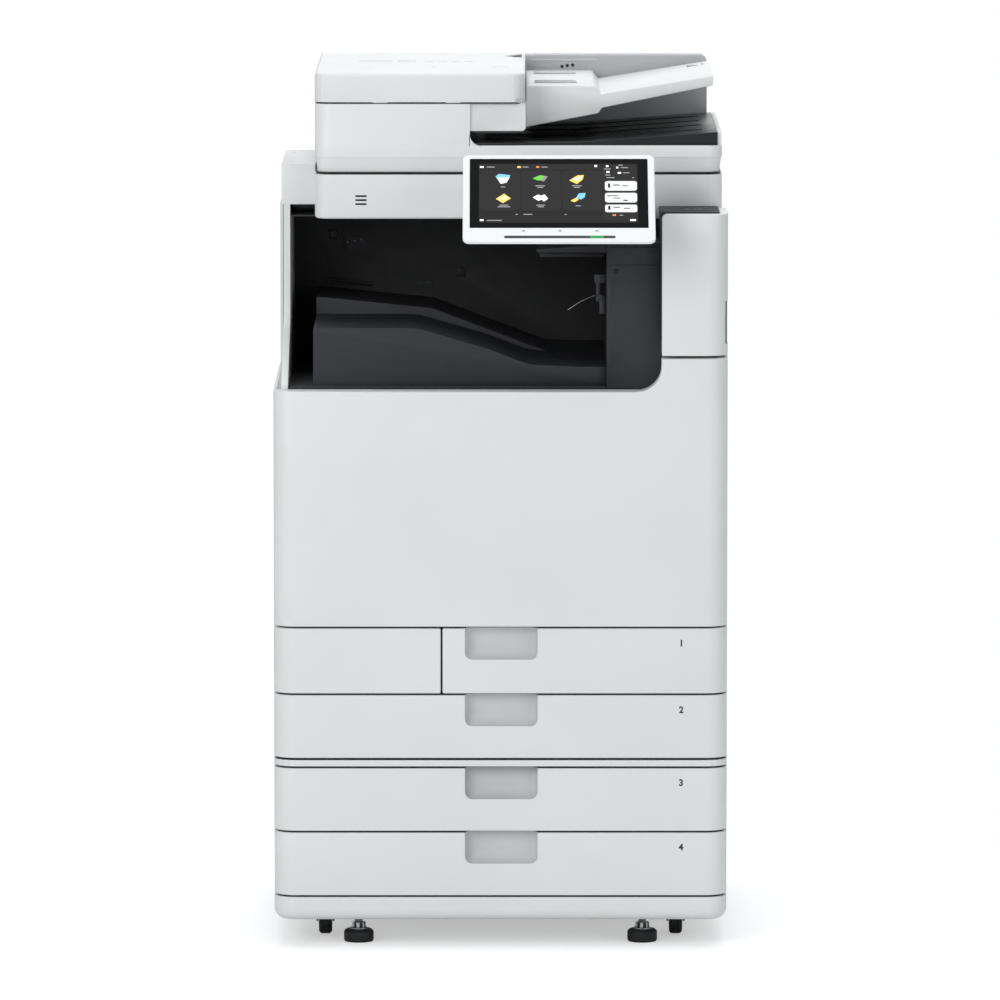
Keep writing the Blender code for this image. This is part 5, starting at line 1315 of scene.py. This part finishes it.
@dataclass
class Feeder:
    """The document feeder: base, cover, rear housing, trays, guides and rollers."""

    band: float = 0.0210
    draft: float = 0.0042
    corner: float = 0.022
    fillet: float = 0.0155
    wall: float = 0.0150
    chin: float = 0.0055
    crown: float = 0.0038
    groove: float = 0.0012
    sign: float = 0.0004
    sign_at: float = 0.262
    sign_line: float = 0.00035
    sign_sheets: tuple[Point, ...] = ((0.058, 0.044), (0.112, 0.024))
    sheet_height: float = 0.030
    arrows: Point = (0.150, 0.205)
    arrow_half: float = 0.006
    arrow_height: float = 0.012
    tray_slope: float = 0.156
    guide_drop: float = 0.0140
    guide_round: float = 0.0080

    def round_front(self, low: np.ndarray, high: Point, height: float, inset: float) -> np.ndarray:
        """A level path up the left side, round the front corners and back along the right side.

        Args:
            low: the outline's front left corner.
            high: its rear right corner.
            height: the path's height.
            inset: how far it lies inside the outline.
        """
        left, right = (low[0] + self.corner, low[1] + self.corner), (high[0] - self.corner,
                                                                     low[1] + self.corner)
        points = [[low[0] + inset, high[1] - self.corner], *fan(left, self.corner - inset, 180, 270),
                  *fan(right, self.corner - inset, 270, 360), [high[0] - inset, high[1] - self.corner]]
        return np.array([[x, y, height] for x, y in points])

    def base(self) -> None:
        """The base: a drafted lower band, a rim above it, a fillet beside the block and a round chin."""
        node = "adf_base"
        body = NODE_BODY[node]
        low, high = span(node)
        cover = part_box("adf_feeder_cover")[1].x
        tray_low = span("adf_catch_tray")[0]
        top = tray_low[2] - 0.0003
        rim = np.array([(self.draft, low[2]), (self.draft * 0.30, low[2] + self.band - 0.0006),
                        (0.0007, low[2] + self.band), (0.0002, low[2] + self.band + 0.0007),
                        (0.0, low[2] + self.band + 0.0018), (0.0, high[2] - self.groove - 0.0002),
                        (self.groove, high[2] - self.groove), (self.groove, high[2] + OVER)])
        shape = swept_slab("base", low, high + (0.0002, 0.0002, 0.0),
                           [self.corner, self.corner, 0.006, 0.006], "z", rim, 12)
        piece = stand_in(node, common("base", cad_copy(node), shape), Finish.WHITE, 30)
        chin = [cover + 0.0005, high[2] - 0.0385]
        middle = (chin[0] - self.chin, chin[1] + self.chin)
        corner = [[chin[0] + OVER, chin[1] - OVER], [chin[0] + OVER, middle[1]],
                  *fan(middle, self.chin, 0, -90), [middle[0], chin[1] - OVER]]
        carve(piece, [prism_xz(corner, (low[1] - OVER, high[1] + OVER), "chin")])
        settled(soften(piece, 0.0008, 2))
        resharpened(piece, 34)
        block = tray_low[0] - 0.0003
        at = (block + self.fillet, top + self.fillet)
        web = [[block - OVER, top - OVER], [at[0] + 0.001, top - OVER], [at[0] + 0.001, top],
               *fan(at, self.fillet, 270, 180), [block - OVER, at[1]]]
        detail("base_fillet", [prism_xz(web, (low[1] + 0.0003, low[1] + self.wall), "web")], Finish.WHITE,
               body)
        edge = tube(np.array([[block + self.fillet, low[1] + 0.0008, top],
                              [high[0] - self.corner, low[1] + 0.0008, top]]), 0.0007, "edge", 8)
        detail("base_edge", [edge], Finish.WHITE, body)
        # Painted shade: thin black tubes laid in the seam at the foot of the base and in the groove under
        # the cover, so both read dark.
        dark = ((low[2] + 0.0002, self.draft * 0.6, 0.0012, "scanner_housing", "feeder_seam", high[0]),
                (high[2] - self.groove * 0.6, self.groove, 0.0006, node, "cover_seal", cover))
        for height, inset, radius, owner, name, right in dark:
            line = self.round_front(low, (right, high[1]), height, inset)
            detail(name, [tube(line, radius, name, 8)], Finish.BLACK, NODE_BODY[owner])
        # Painted shade: flush mid-grey bars on the back face stand for vent openings.
        vent_shades = [brick((x, high[1] - 0.0002, low[2] + 0.012), (x + 0.012, high[1], low[2] + 0.0135), 0.0001)
                 for x in np.linspace(low[0] + 0.06, high[0] - 0.08, 18)]
        detail("base_rear_marks", vent_shades, Finish.MID, body)

    def sign_strokes(self, low: np.ndarray, top: float) -> list[Mesh]:
        """The moulded sign's lines: the outlines of two sheets and four arrow heads.

        Args:
            low: the cover's low corner.
            top: the height of the face that the lines stand on.
        """
        sign_y = low[1] + self.sign_at
        strokes = []
        for left, wide in self.sign_sheets:
            tall = self.sheet_height
            sheet = np.array([(0, 0), (wide, 0), (wide, tall), (0, tall), (0, 0)])
            path = at_level(sheet + (low[0] + left, sign_y), top)
            sides = zip(path[:-1], path[1:])
            fine = np.concatenate([np.linspace(start, end, 4, endpoint=False) for start, end in sides])
            strokes.append(tube(fine, self.sign_line, "stroke", 6))
        for x in np.linspace(low[0] + self.arrows[0], low[0] + self.arrows[1], 4):
            tip = np.array((x + self.arrow_half, sign_y + self.arrow_height, top))
            foot, end = np.array((x, sign_y, top)), np.array((x + 2 * self.arrow_half, sign_y, top))
            path = np.concatenate([np.linspace(foot, tip, 4), np.linspace(tip, end, 4)[1:]])
            strokes.append(tube(path, self.sign_line, "stroke", 6))
        return strokes

    def cover(self) -> None:
        """The hinged cover, with its soft crown, moulded sign, slot, stud and latch."""
        node = "adf_feeder_cover"
        body = NODE_BODY[node]
        low, high = span(node)
        top = high[2] - self.sign
        rim = quarter_rim(low[2] - OVER, top, 0.0003, self.crown, 5)
        shape = swept_slab("cover", low, high, [self.corner, self.corner, 0.006, 0.006], "z", rim, 14)
        piece = stand_in(node, common("cover", cad_copy(node), shape), Finish.WHITE, 30)
        grip = brick((high[0] - 0.046, low[1] + 0.148, top - 0.0030),
                     (high[0] - 0.022, low[1] + 0.156, top + PAST))
        wedge = np.array([(-0.030, -0.075), (-0.004, -0.020), (-0.004, -0.110)]) + (high[0], high[1])
        rings = np.stack([at_level(wedge, level) for level in (top - 0.0035, top + PAST)])
        carve(piece, [grip, lofted(rings, "wedge")])
        settled(soften(piece, 0.0005, 2))
        resharpened(piece, 34)
        # Painted shade: a mid-grey sheet on the floor of the wedge recess.
        floor = rings.copy()
        floor[:, :, :2] = floor[:, :, :2].mean(1, keepdims=True) * 0.03 + floor[:, :, :2] * 0.97
        floor[:, :, 2] = np.array([[top - 0.0034], [top - 0.0032]])
        detail("cover_wedge", [lofted(floor, "wedge")], Finish.MID, body)
        detail("cover_sign", self.sign_strokes(low, top), Finish.PALE, body)
        detail("cover_stud", [disc((low[0] + 0.162, low[1] + 0.150, top - 0.0002), 0.0022, "z", 0.0006)],
               Finish.MID, body)
        latch = brick((high[0] - 0.012, low[1], low[2] + 0.0002),
                      (high[0] - PAST, low[1] + 0.004, low[2] + 0.006), 0.0006)
        detail("cover_latch", [latch], Finish.PALE, body)

    def rear(self) -> None:
        """The rear housing, with a thin lighter strip of painted highlight near its top, three studs and a
        vent grille behind.
        """
        node = "adf_rear_housing"
        body = NODE_BODY[node]
        low, high = span(node)
        cuts = [brick((x, high[1] - 0.0015, low[2] + 0.030), (x + 0.0025, high[1] + PAST, high[2] - 0.020),
                      0.0002) for x in np.linspace(low[0] + 0.05, high[0] - 0.05, 24)]
        fine_node(node, 0.0012, Finish.PALE, cuts)
        # Painted highlight: a thin raised strip in a lighter grey than the housing, along the top of its
        # front face.
        highlight_strip = brick((low[0] + 0.0100, low[1] - 0.0006, high[2] - 0.0075),
                      (low[0] + 0.1030, low[1] + 0.0003, high[2] - 0.0055))
        detail("rear_ledge", [highlight_strip], Finish.LIGHT, body)
        studs = [disc((low[0] + 0.0520 + step, low[1] - 0.0003, high[2] - 0.0145 + rise), 0.0022, "y",
                      0.0012) for step, rise in ((0.0, -0.0012), (0.0075, 0.0), (0.0150, 0.0008))]
        detail("rear_studs", studs, Finish.BLACK, body)

    def trays(self) -> None:
        """The sloping input tray with its fence and lip, the black catch tray and the two guides."""
        node = "adf_input_tray"
        body = NODE_BODY[node]
        low, high = span(node)
        fine_node(node, 0.0016, Finish.WHITE)
        middle = Vector((high[0] - 0.024, high[1] - 0.055, high[2] - 0.024 * self.tray_slope))
        lean = Matrix.Translation(middle) @ Matrix.Rotation(-math.atan(self.tray_slope), 4, "Y")
        wedge = np.array([(-0.007, 0.012), (-0.007, -0.012), (0.009, -0.012)])
        rings = np.stack([at_level(wedge, level) for level in (-0.0010, 0.0002)])
        marks = [lofted(rings, "notch"), disc((0.0155, 0.004, 0), 0.0016, "z", 0.0006),
                 disc((0.0150, -0.022, 0), 0.0013, "z", 0.0006)]
        for mesh in marks:
            mesh.transform(lean)
        detail("tray_notch", marks, Finish.CHARCOAL, body)
        node = "adf_catch_tray"
        low, high = span(node)
        fine_node(node, 0.0008, Finish.BLACK)
        ribs = []
        for y in np.linspace(low[1] + 0.07, high[1] - 0.07, 4):
            path = np.array([[low[0] + 0.02, y, low[2] + 0.0040], [low[0] + 0.15, y, low[2] + 0.0046],
                             [high[0] - 0.02, y, high[2] - 0.0012]])
            fine = np.concatenate([np.linspace(path[0], path[1], 8, endpoint=False),
                                   np.linspace(path[1], path[2], 8)])
            ribs.append(tube(fine, 0.0008, "rib", 8))
        detail("catch_ribs", ribs, Finish.BLACK, NODE_BODY[node])
        for node in ("guide_front", "guide_rear"):
            low, high = span(node)
            plate = stand_in(node, cad_copy(node), Finish.LIGHT, 30)
            at = (high[0] - self.guide_round, high[2] - self.guide_drop - self.guide_round)
            over = [[low[0] - OVER, high[2] - self.guide_drop], [at[0], high[2] - self.guide_drop],
                    *fan(at, self.guide_round, 90, 0), [high[0] + OVER, at[1]],
                    [high[0] + OVER, high[2] + OVER], [low[0] - OVER, high[2] + OVER]]
            carve(plate, [prism_xz(over, (low[1] - OVER, high[1] + OVER), "over")])
            settled(soften(plate, 0.0007, 2))

    def rollers(self) -> None:
        """The pickup and feed rollers, with ribbed rubber sleeves."""
        for node in ("adf_feed_roller", "adf_pickup_roller"):
            fine_node(node, 0.0005)

    def build(self) -> None:
        """Make the whole feeder."""
        self.base()
        self.cover()
        self.rear()
        self.trays()
        self.rollers()
        log.info("feeder ready")


# -------------------------------------------------------------- the output bay


@dataclass
class Bay:
    """The dark output bay: liner, tray, column with its hood and sheet sensors, and the white left wall."""

    wall: float = 0.0020
    windows: tuple[tuple[float, float], ...] = ((0.0547, 0.0460), (0.2347, 0.1000))
    window_half: float = 0.0058

    def __post_init__(self) -> None:
        """Read the liner's inside."""
        self.body = NODE_BODY["bay_liner"]
        self.low, self.high = span("bay_liner")
        self.back = self.high[1] - self.wall

    def liner(self) -> None:
        """The lining, with windows over its sensor holes, a studded plate and moulded seams."""
        fine_node("bay_liner", 0.0006, Finish.BAY)
        lens, rings = [], []
        for across, down in self.windows:
            x, z = self.low[0] + across, self.high[2] - down
            half = self.window_half
            lens.append(brick((x - half, self.back + 0.0001, z - half),
                              (x + half, self.high[1] - 0.0002, z + half), 0.0004))
            turn = np.linspace(0, 2 * np.pi, 25)
            ring = np.stack([x + 0.0062 * np.cos(turn), np.full(25, self.back - 0.0004),
                             z + 0.0062 * np.sin(turn)], -1)
            rings.append(tube(ring, 0.0007, "ring", 6))
            lens.append(disc((x, self.back - 0.0002, z), 0.0045, "y", 0.0010))
        detail("bay_windows", lens, Finish.BLACK, self.body)
        detail("bay_window_rings", rings, Finish.CHARCOAL, self.body)
        x, z = self.low[0] + 0.0690, self.high[2] - 0.0490
        plate = [brick((x, self.back - 0.0012, z - 0.0230), (x + 0.0320, self.back + 0.0002, z), 0.0005)]
        seams = [brick((self.low[0] + OVER, self.back - 0.0006, z - 0.0540),
                       (self.low[0] + 0.046, self.back + 0.0002, z - 0.0530)),
                 brick((self.low[0] + 0.0455, self.back - 0.0006, z - 0.165),
                       (self.low[0] + 0.0465, self.back + 0.0002, z - 0.0530))]
        rail = tube(np.array([[self.low[0] + 0.048, self.back - OVER, self.low[2] + 0.1160],
                              [self.low[0] + 0.110, self.back - OVER, self.low[2] + 0.1090]]), 0.0030,
                    "rail", 10)
        detail("bay_reliefs", plate + seams + [rail], Finish.CHARCOAL, self.body)
        studs = [disc((x + step, self.back - 0.0014, z - drop), 0.0013, "y", 0.0012)
                 for step, drop in ((0.0060, 0.0080), (0.0160, 0.0065), (0.0250, 0.0050))]
        detail("bay_studs", studs, Finish.MID, self.body)
        # Painted shade: black discs stand for the shade inside small holes in the liner.
        holes = [disc((self.low[0] + across, self.back - 0.0001, self.low[2] + rise), radius, "y", 0.0008)
                 for across, rise, radius in ((0.0470, 0.1240, 0.0022), (0.1900, 0.1080, 0.0065),
                                              (0.1790, 0.1090, 0.0045))]
        detail("bay_recesses", holes, Finish.BLACK, self.body)

    def tray(self) -> None:
        """The stepped tray, with soft edges, a raised border and sheet-stop ribs."""
        node = "output_tray"
        fine_node(node, 0.0032, Finish.CHARCOAL)
        low, high = span(node)
        body = NODE_BODY[node]
        rib = [brick((x, low[1] + 0.0022, low[2] + 0.0004), (x + 0.0016, low[1] + 0.004, low[2] + 0.006),
                     0.0002) for x in np.linspace(low[0] + 0.03, high[0] - 0.02, 9)]
        lip = brick((self.low[0] + 0.004, self.low[1] + 0.0010, self.low[2] + 0.0022),
                    (self.high[0] - PAST, self.low[1] + 0.0075, self.low[2] + 0.0040), 0.0006)
        detail("bay_front_lip", [lip], Finish.CHARCOAL, self.body)
        detail("tray_ribs", rib, Finish.CHARCOAL, body)

    def column(self) -> None:
        """The column, with black bars of painted slot shade on its head, the hood's ribs, a bracket with
        levers and a wire flag.
        """
        node = "bay_column"
        body = NODE_BODY[node]
        low, high = span(node)
        inner = self.high[0] + 0.0003
        fine_node(node, 0.0012, Finish.CHARCOAL)
        face = low[1]
        head = high[2] - 0.0256
        # Painted shade: flush black bars stand for the slots in the column's head, with a long thin one
        # below them.
        slots = [brick((x, face, head - 0.0060), (x + 0.0125, face + 0.0006, head - 0.0048),
                       0.0001) for x in np.linspace(inner + 0.004, high[0] - 0.0165, 5)]
        slots.append(brick((inner + 0.001, face, head - 0.0305),
                           (high[0] - OVER, face + 0.0005, head - 0.0295), 0.0001))
        detail("column_slots", slots, Finish.BLACK, body)
        under = high[2] - 0.052
        ribs = [brick((low[0] + 0.004, y, under), (inner - 0.002, y + 0.0018, under + 0.0045), 0.0003)
                for y in np.linspace(low[1] + 0.09, high[1] - 0.06, 8)]
        detail("hood_ribs", ribs, Finish.BAY, body)
        y = low[1] + 0.085
        arm = [brick((inner - 0.0160, y, head - 0.062), (inner - 0.0006, y + 0.012, head - 0.050), 0.0012),
               brick((inner - 0.0135, y + 0.002, head - 0.088), (inner - 0.0075, y + 0.010, head - 0.058),
                     0.0012), brick((inner - 0.0090, y + 0.001, head - 0.105),
                                    (inner - 0.0010, y + 0.009, head - 0.080), 0.0014),
               disc((inner - 0.0070, y + 0.0005, head - 0.082), 0.0042, "y", 0.0030)]
        detail("exit_bracket", arm, Finish.SLATE, body)
        turn = np.linspace(0, 1, 12)[:, None]
        flag = (1 - turn) * np.array([inner - 0.0150, y, head - 0.079]) + turn * np.array([inner - 0.052,
                                                                                           y, head - 0.099])
        flag[:, 2] += 0.002 * np.sin(np.pi * turn[:, 0])
        detail("exit_flag", [tube(flag, 0.0007, "flag", 8)], Finish.WIRE, body)
        fine_node("exit_roller", 0.0004)

    def left(self) -> None:
        """The white left wall and its shelf, with a seam and a screw cover."""
        node = "left_column"
        fine_node(node, 0.0016, Finish.WHITE)
        low, high = span(node)
        body = NODE_BODY[node]
        marks = [disc((low[0] + 0.012, high[1] - 0.22, high[2] - 0.0001), 0.0040, "z", 0.0004),
                 disc((low[0] + 0.012, high[1] - 0.05, high[2] - 0.0001), 0.0040, "z", 0.0004)]
        detail("shelf_caps", marks, Finish.LIGHT, body)

    def build(self) -> None:
        """Make the bay."""
        self.liner()
        self.tray()
        self.column()
        self.left()
        log.info("output bay ready")


# ------------------------------------------------------- outer covers and running gear


@dataclass
class Covers:
    """Left, right and rear covers with their louvres, grips and screws, and the power inlet."""

    slot: float = 0.0030
    pitch: float = 0.0075
    screw: float = 0.0032

    def louvres(self, low: Point, high: Point, axis: int, depth: Point) -> list[Mesh]:
        """Rows of tall slots over an area, as cutters.

        Args:
            low: the area's lowest corner, along the slots' spacing and upwards.
            high: its highest corner.
            axis: 0 if the slots are spaced along x, or 1 if along y.
            depth: the cutters' reach along the other axis.
        """
        order = (0, 1) if axis == 0 else (1, 0)
        cuts = []
        for place in np.arange(low[0], high[0], self.pitch):
            start, end = np.array((place, depth[0])), np.array((place + self.slot, depth[1]))
            cuts.append(brick((*start[list(order)], low[1]), (*end[list(order)], high[1]), 0.0008))
        return cuts

    def seats(self, places: Sequence[Point], axis: str) -> list[Mesh]:
        """Shallow round cutters for the screws."""
        return [disc(place, self.screw + 0.0005, axis, 0.0015) for place in places]

    def screws(self, name: str, places: Sequence[Point], axis: str, body: str) -> None:
        """Cross-head screws just below the cover's face, with black crosses as painted shade in their
        recesses.
        """
        heads = [disc(place, self.screw, axis, 0.0009, 0.0003) for place in places]
        detail(name, heads, Finish.STEEL, body)
        # Painted shade: black bricks stand for the shade in each cross recess.
        cross = []
        for place in places:
            for wide, tall in ((0.0032, 0.0007), (0.0007, 0.0032)):
                reach = {"x": (0.0005, wide / 2, tall / 2), "y": (wide / 2, 0.0005, tall / 2)}[axis]
                cross.append(brick(np.array(place) - reach, np.array(place) + reach, 0.00005))
        detail(name + "_crosses", cross, Finish.BLACK, body)

    def sides(self) -> None:
        """The two side covers."""
        for node, sign in (("left_cover", -1), ("right_cover", 1)):
            low, high = span(node)
            depth = (low[0] - PAST, high[0] + PAST)
            cuts = self.louvres((high[1] - 0.150, low[2] + 0.520), (high[1] - 0.040, low[2] + 0.600), 1,
                                depth)
            if sign < 0:
                cuts += self.louvres((low[1] + 0.130, low[2] + 0.640), (low[1] + 0.260, low[2] + 0.690), 1,
                                     depth)
            cuts.append(brick((depth[0], low[1] + 0.200, low[2] + 0.1925),
                              (depth[1], high[1] - 0.120, low[2] + 0.1931)))
            face = low[0] if sign < 0 else high[0]
            x = face + 0.0005 * -sign
            places = [(x, y, z) for y in (low[1] + 0.025, high[1] - 0.020)
                      for z in (low[2] + 0.030, low[2] + 0.330)]
            fine_node(node, 0.0005, Finish.WHITE, cuts + self.seats(places, "x"))
            self.screws(node + "_screws", places, "x", NODE_BODY[node])

    def rear(self) -> None:
        """The rear cover, in three panels with louvres, screws, a filter grille and a plain plate."""
        node = "rear_cover"
        low, high = span(node)
        depth = (low[1] - PAST, high[1] + PAST)
        cuts = []
        for x in (low[0] + 0.060, high[0] - 0.200):
            cuts += self.louvres((x, low[2] + 0.700), (x + 0.140, low[2] + 0.780), 0, depth)
        cuts += self.louvres((low[0] + 0.260, low[2] + 0.470), (low[0] + 0.420, low[2] + 0.520), 0, depth)
        cuts += self.louvres((high[0] - 0.160, low[2] + 0.060), (high[0] - 0.060, low[2] + 0.100), 0, depth)
        body = NODE_BODY[node]
        face = high[1]
        cuts += [brick((low[0] + PAST, face - 0.0008, low[2] + z),
                       (high[0] - PAST, face + OVER, low[2] + z + 0.0012), 0.0001) for z in (0.180, 0.655)]
        places = [(x, face - 0.0005, low[2] + z) for x in (low[0] + 0.020, 0.0, high[0] - 0.020)
                  for z in (0.020, 0.168, 0.196, 0.640, 0.672, 0.890)]
        fine_node(node, 0.0005, Finish.WHITE, cuts + self.seats(places, "y"))
        self.screws("rear_screws", places, "y", body)
        plate = brick((high[0] - 0.200, face - 0.0004, low[2] + 0.220),
                      (high[0] - 0.110, face - 0.00002, low[2] + 0.270), 0.0002)
        detail("rear_plate", [plate], Finish.LIGHT, body)
        lines = [brick((high[0] - 0.195, face - 0.0002, z), (high[0] - 0.195 + wide, face, z + 0.0016),
                       0.00005) for z, wide in zip(np.linspace(low[2] + 0.226, low[2] + 0.262, 7),
                                                   (0.05, 0.07, 0.06, 0.078, 0.04, 0.07, 0.03))]
        detail("rear_plate_rows", lines, Finish.INK, body)
        fine_node("power_inlet", 0.0006, Finish.BLACK)
        inlet_low, inlet_high = span("power_inlet")
        middle = (inlet_low + inlet_high) / 2
        pins = [brick((middle[0] + step - 0.001, inlet_high[1] - 0.016, middle[2] + rise - 0.0025),
                      (middle[0] + step + 0.001, inlet_high[1] - 0.006, middle[2] + rise + 0.0025), 0.0003)
                for step, rise in ((-0.007, 0.001), (0.0, -0.002), (0.007, 0.001))]
        detail("inlet_pins", pins, Finish.STEEL, NODE_BODY["power_inlet"])

    def door(self) -> None:
        """The right door and the bypass tray folded into it."""
        low, high = span("right_door")
        fine_node("right_door", 0.0012, Finish.WHITE)
        fine_node("bypass_tray", 0.0009, Finish.WHITE)
        tray_low, tray_high = span("bypass_tray")
        body = NODE_BODY["bypass_tray"]
        x = tray_high[0]
        seam = [brick((x - 0.0002, tray_low[1] + 0.020, z),
                      (x + 0.00004, tray_high[1] - 0.020, z + 0.0010), 0.0001)
                for z in (tray_low[2] + 0.030, tray_high[2] - 0.040)]
        middle = (tray_low[1] + tray_high[1]) / 2
        seam.append(brick((x - 0.0002, middle - 0.020, tray_high[2] - 0.034),
                          (x + 0.00004, middle + 0.020, tray_high[2] - 0.030)))
        detail("bypass_lines", seam, Finish.LIGHT, body)
        inner = [brick((tray_low[0] - 0.0001, y, tray_low[2] + 0.02),
                       (tray_low[0] + 0.0012, y + 0.0015, tray_high[2] - 0.02), 0.0003)
                 for y in np.linspace(tray_low[1] + 0.03, tray_high[1] - 0.03, 9)]
        detail("bypass_ribs", inner, Finish.WARM_WHITE, body)
        back = [brick((low[0], y, low[2] + 0.02), (low[0] + 0.0002, y + 0.002, low[2] + 0.030), 0.0001)
                for y in np.linspace(low[1] + 0.04, high[1] - 0.04, 6)]
        detail("door_marks", back, Finish.MID, NODE_BODY["right_door"])

    def build(self) -> None:
        """Make the covers."""
        self.sides()
        self.rear()
        self.door()
        log.info("covers ready")


@dataclass
class RunningGear:
    """Casters and levelling feet."""

    hub_radius: float = 0.0075
    hub_thickness: float = 0.0010
    hub_inset: float = 0.0006
    nut_radius: float = 0.0095
    nut_turn: int = 15
    nut_chamfer: float = 0.93
    nut_levels: Point = (0.0190, 0.0198, 0.0258, 0.0266)
    washer_radius: float = 0.0125
    washer_level: float = 0.0182
    washer_thickness: float = 0.0014
    thread_radius: float = 0.0050
    thread_crest: float = 0.00035
    thread_foot: float = 0.0270
    thread_pitch: float = 0.0010
    thread_turns: int = 9

    def casters(self) -> None:
        """The forks and wheels, with a hub cap on each side of a wheel."""
        for number in range(1, 5):
            fork, wheel = f"caster_fork_{number}", f"caster_wheel_{number}"
            fine_node(fork, 0.0008, Finish.BLACK)
            fine_node(wheel, 0.0012, Finish.RUBBER)
            low, high = span(wheel)
            middle = (low + high) / 2
            hubs = [disc((x, middle[1], middle[2]), self.hub_radius, "x", self.hub_thickness, 0.0003)
                    for x in (low[0] + self.hub_inset, high[0] - self.hub_inset)]
            detail(wheel + "_hubs", hubs, Finish.STEEL, NODE_BODY[wheel])

    def feet(self) -> None:
        """The levelling feet, each with a nut, a washer and a thread."""
        for side in ("left", "right"):
            node = f"levelling_foot_{side}"
            body = NODE_BODY[node]
            low, high = span(node)
            middle = (low + high) / 2
            settled(soften(stand_in(node, cad_copy(node), Finish.BLACK, 35), 0.0008, 2))
            flat = np.array([[middle[0] + self.nut_radius * math.cos(t),
                              middle[1] + self.nut_radius * math.sin(t)]
                             for t in np.radians(np.arange(0, 360, 60) + self.nut_turn)])
            scales = (self.nut_chamfer, 1, 1, self.nut_chamfer)
            rings = [at_level(flat * scale + np.array(middle[:2]) * (1 - scale), level)
                     for scale, level in zip(scales, self.nut_levels)]
            nut = lofted(np.stack(rings), "nut")
            washer = disc((middle[0], middle[1], self.washer_level), self.washer_radius, "z",
                          self.washer_thickness, 0.0003)
            detail(node + "_nut", [nut, washer], Finish.STEEL, body)
            turn = np.linspace(0, 2 * np.pi * self.thread_turns, 24 * self.thread_turns + 1)
            thread = np.stack([middle[0] + self.thread_radius * np.cos(turn),
                               middle[1] + self.thread_radius * np.sin(turn),
                               self.thread_foot + self.thread_pitch * turn / (2 * np.pi)], -1)
            detail(node + "_thread", [tube(thread, self.thread_crest, "thread", 6)], Finish.STEEL, body)

    def build(self) -> None:
        """Dress the casters and the feet."""
        self.casters()
        self.feet()
        log.info("running gear ready")


@dataclass
class Insides:
    """The parts that show only when something is open: frames, rollers, drum, bottles, lift plates."""

    rail_gap: float = 0.0026
    rail_depth: float = 0.0340
    rail_corner: float = 0.0300

    def build(self) -> None:
        """Dress the frames, the bottles and the lift plates."""
        for number in range(1, 5):
            node = f"lift_plate_{number}"
            low, high = span(node)
            x, y = (low[0] + high[0]) / 2, low[1] + 0.10
            cuts = [brick((x - 0.020, y, low[2] - PAST), (x + 0.020, y + 0.060, high[2] + PAST), 0.002),
                    brick((low[0] + 0.030, y - 0.04, low[2] - PAST),
                          (low[0] + 0.042, y + 0.09, high[2] + PAST), 0.002)]
            fine_node(node, 0.0004, Finish.STEEL, cuts)
            fine_node(f"feed_roller_{number}", 0.0004)
            pad = brick((high[0] - 0.040, low[1] + 0.12, high[2] - 0.0001),
                        (high[0] - 0.012, low[1] + 0.17, high[2] + 0.0004))
            detail(node + "_pad", [pad], Finish.RUBBER, NODE_BODY[node])
        for node, label in (("toner_bottle", Finish.SLATE), ("drum_unit", Finish.STEEL)):
            fine_node(node, 0.0006)
            low, high = span(node)
            middle = (low + high) / 2
            cap = disc((middle[0], low[1] + 0.0006, middle[2]), (high[0] - low[0]) * 0.30, "y", 0.0010,
                       0.0003)
            detail(node + "_cap", [cap], label, NODE_BODY[node])
        fine_node("waste_toner_bottle", 0.0014)
        for node in ("heat_roller", "pressure_roller"):
            fine_node(node, 0.0004)
        for node in ("main_frame", "pedestal_frame"):
            fine_node(node, 0.0004, Finish.STEEL)
        lower, upper = span("drawer_3"), span("drawer_2")
        gap = self.rail_gap
        strip = rounded_slab("rail", (lower[0][0], lower[0][1] - 0.0001, lower[1][2] + gap),
                             (upper[1][0], lower[0][1] + self.rail_depth, upper[0][2] - gap),
                             [self.rail_corner, self.rail_corner, 0.001, 0.001], "z", 0.0008, 8)
        detail("rail_strip", [strip], Finish.WHITE, NODE_BODY["main_frame"])
        fine_node("panel_arm", 0.0014)
        log.info("insides ready")


PARTS = (FrontPanels, Panel, Base, RightTop, Scanner, Feeder, Bay, Covers, RunningGear, Insides)


def main() -> None:
    """Build the studio and every sub-assembly in order."""
    logging.basicConfig(level=logging.INFO, format="%(name)s: %(message)s")
    Studio().build()
    for part in PARTS:
        part().build()


if __name__ == "__main__":
    main()
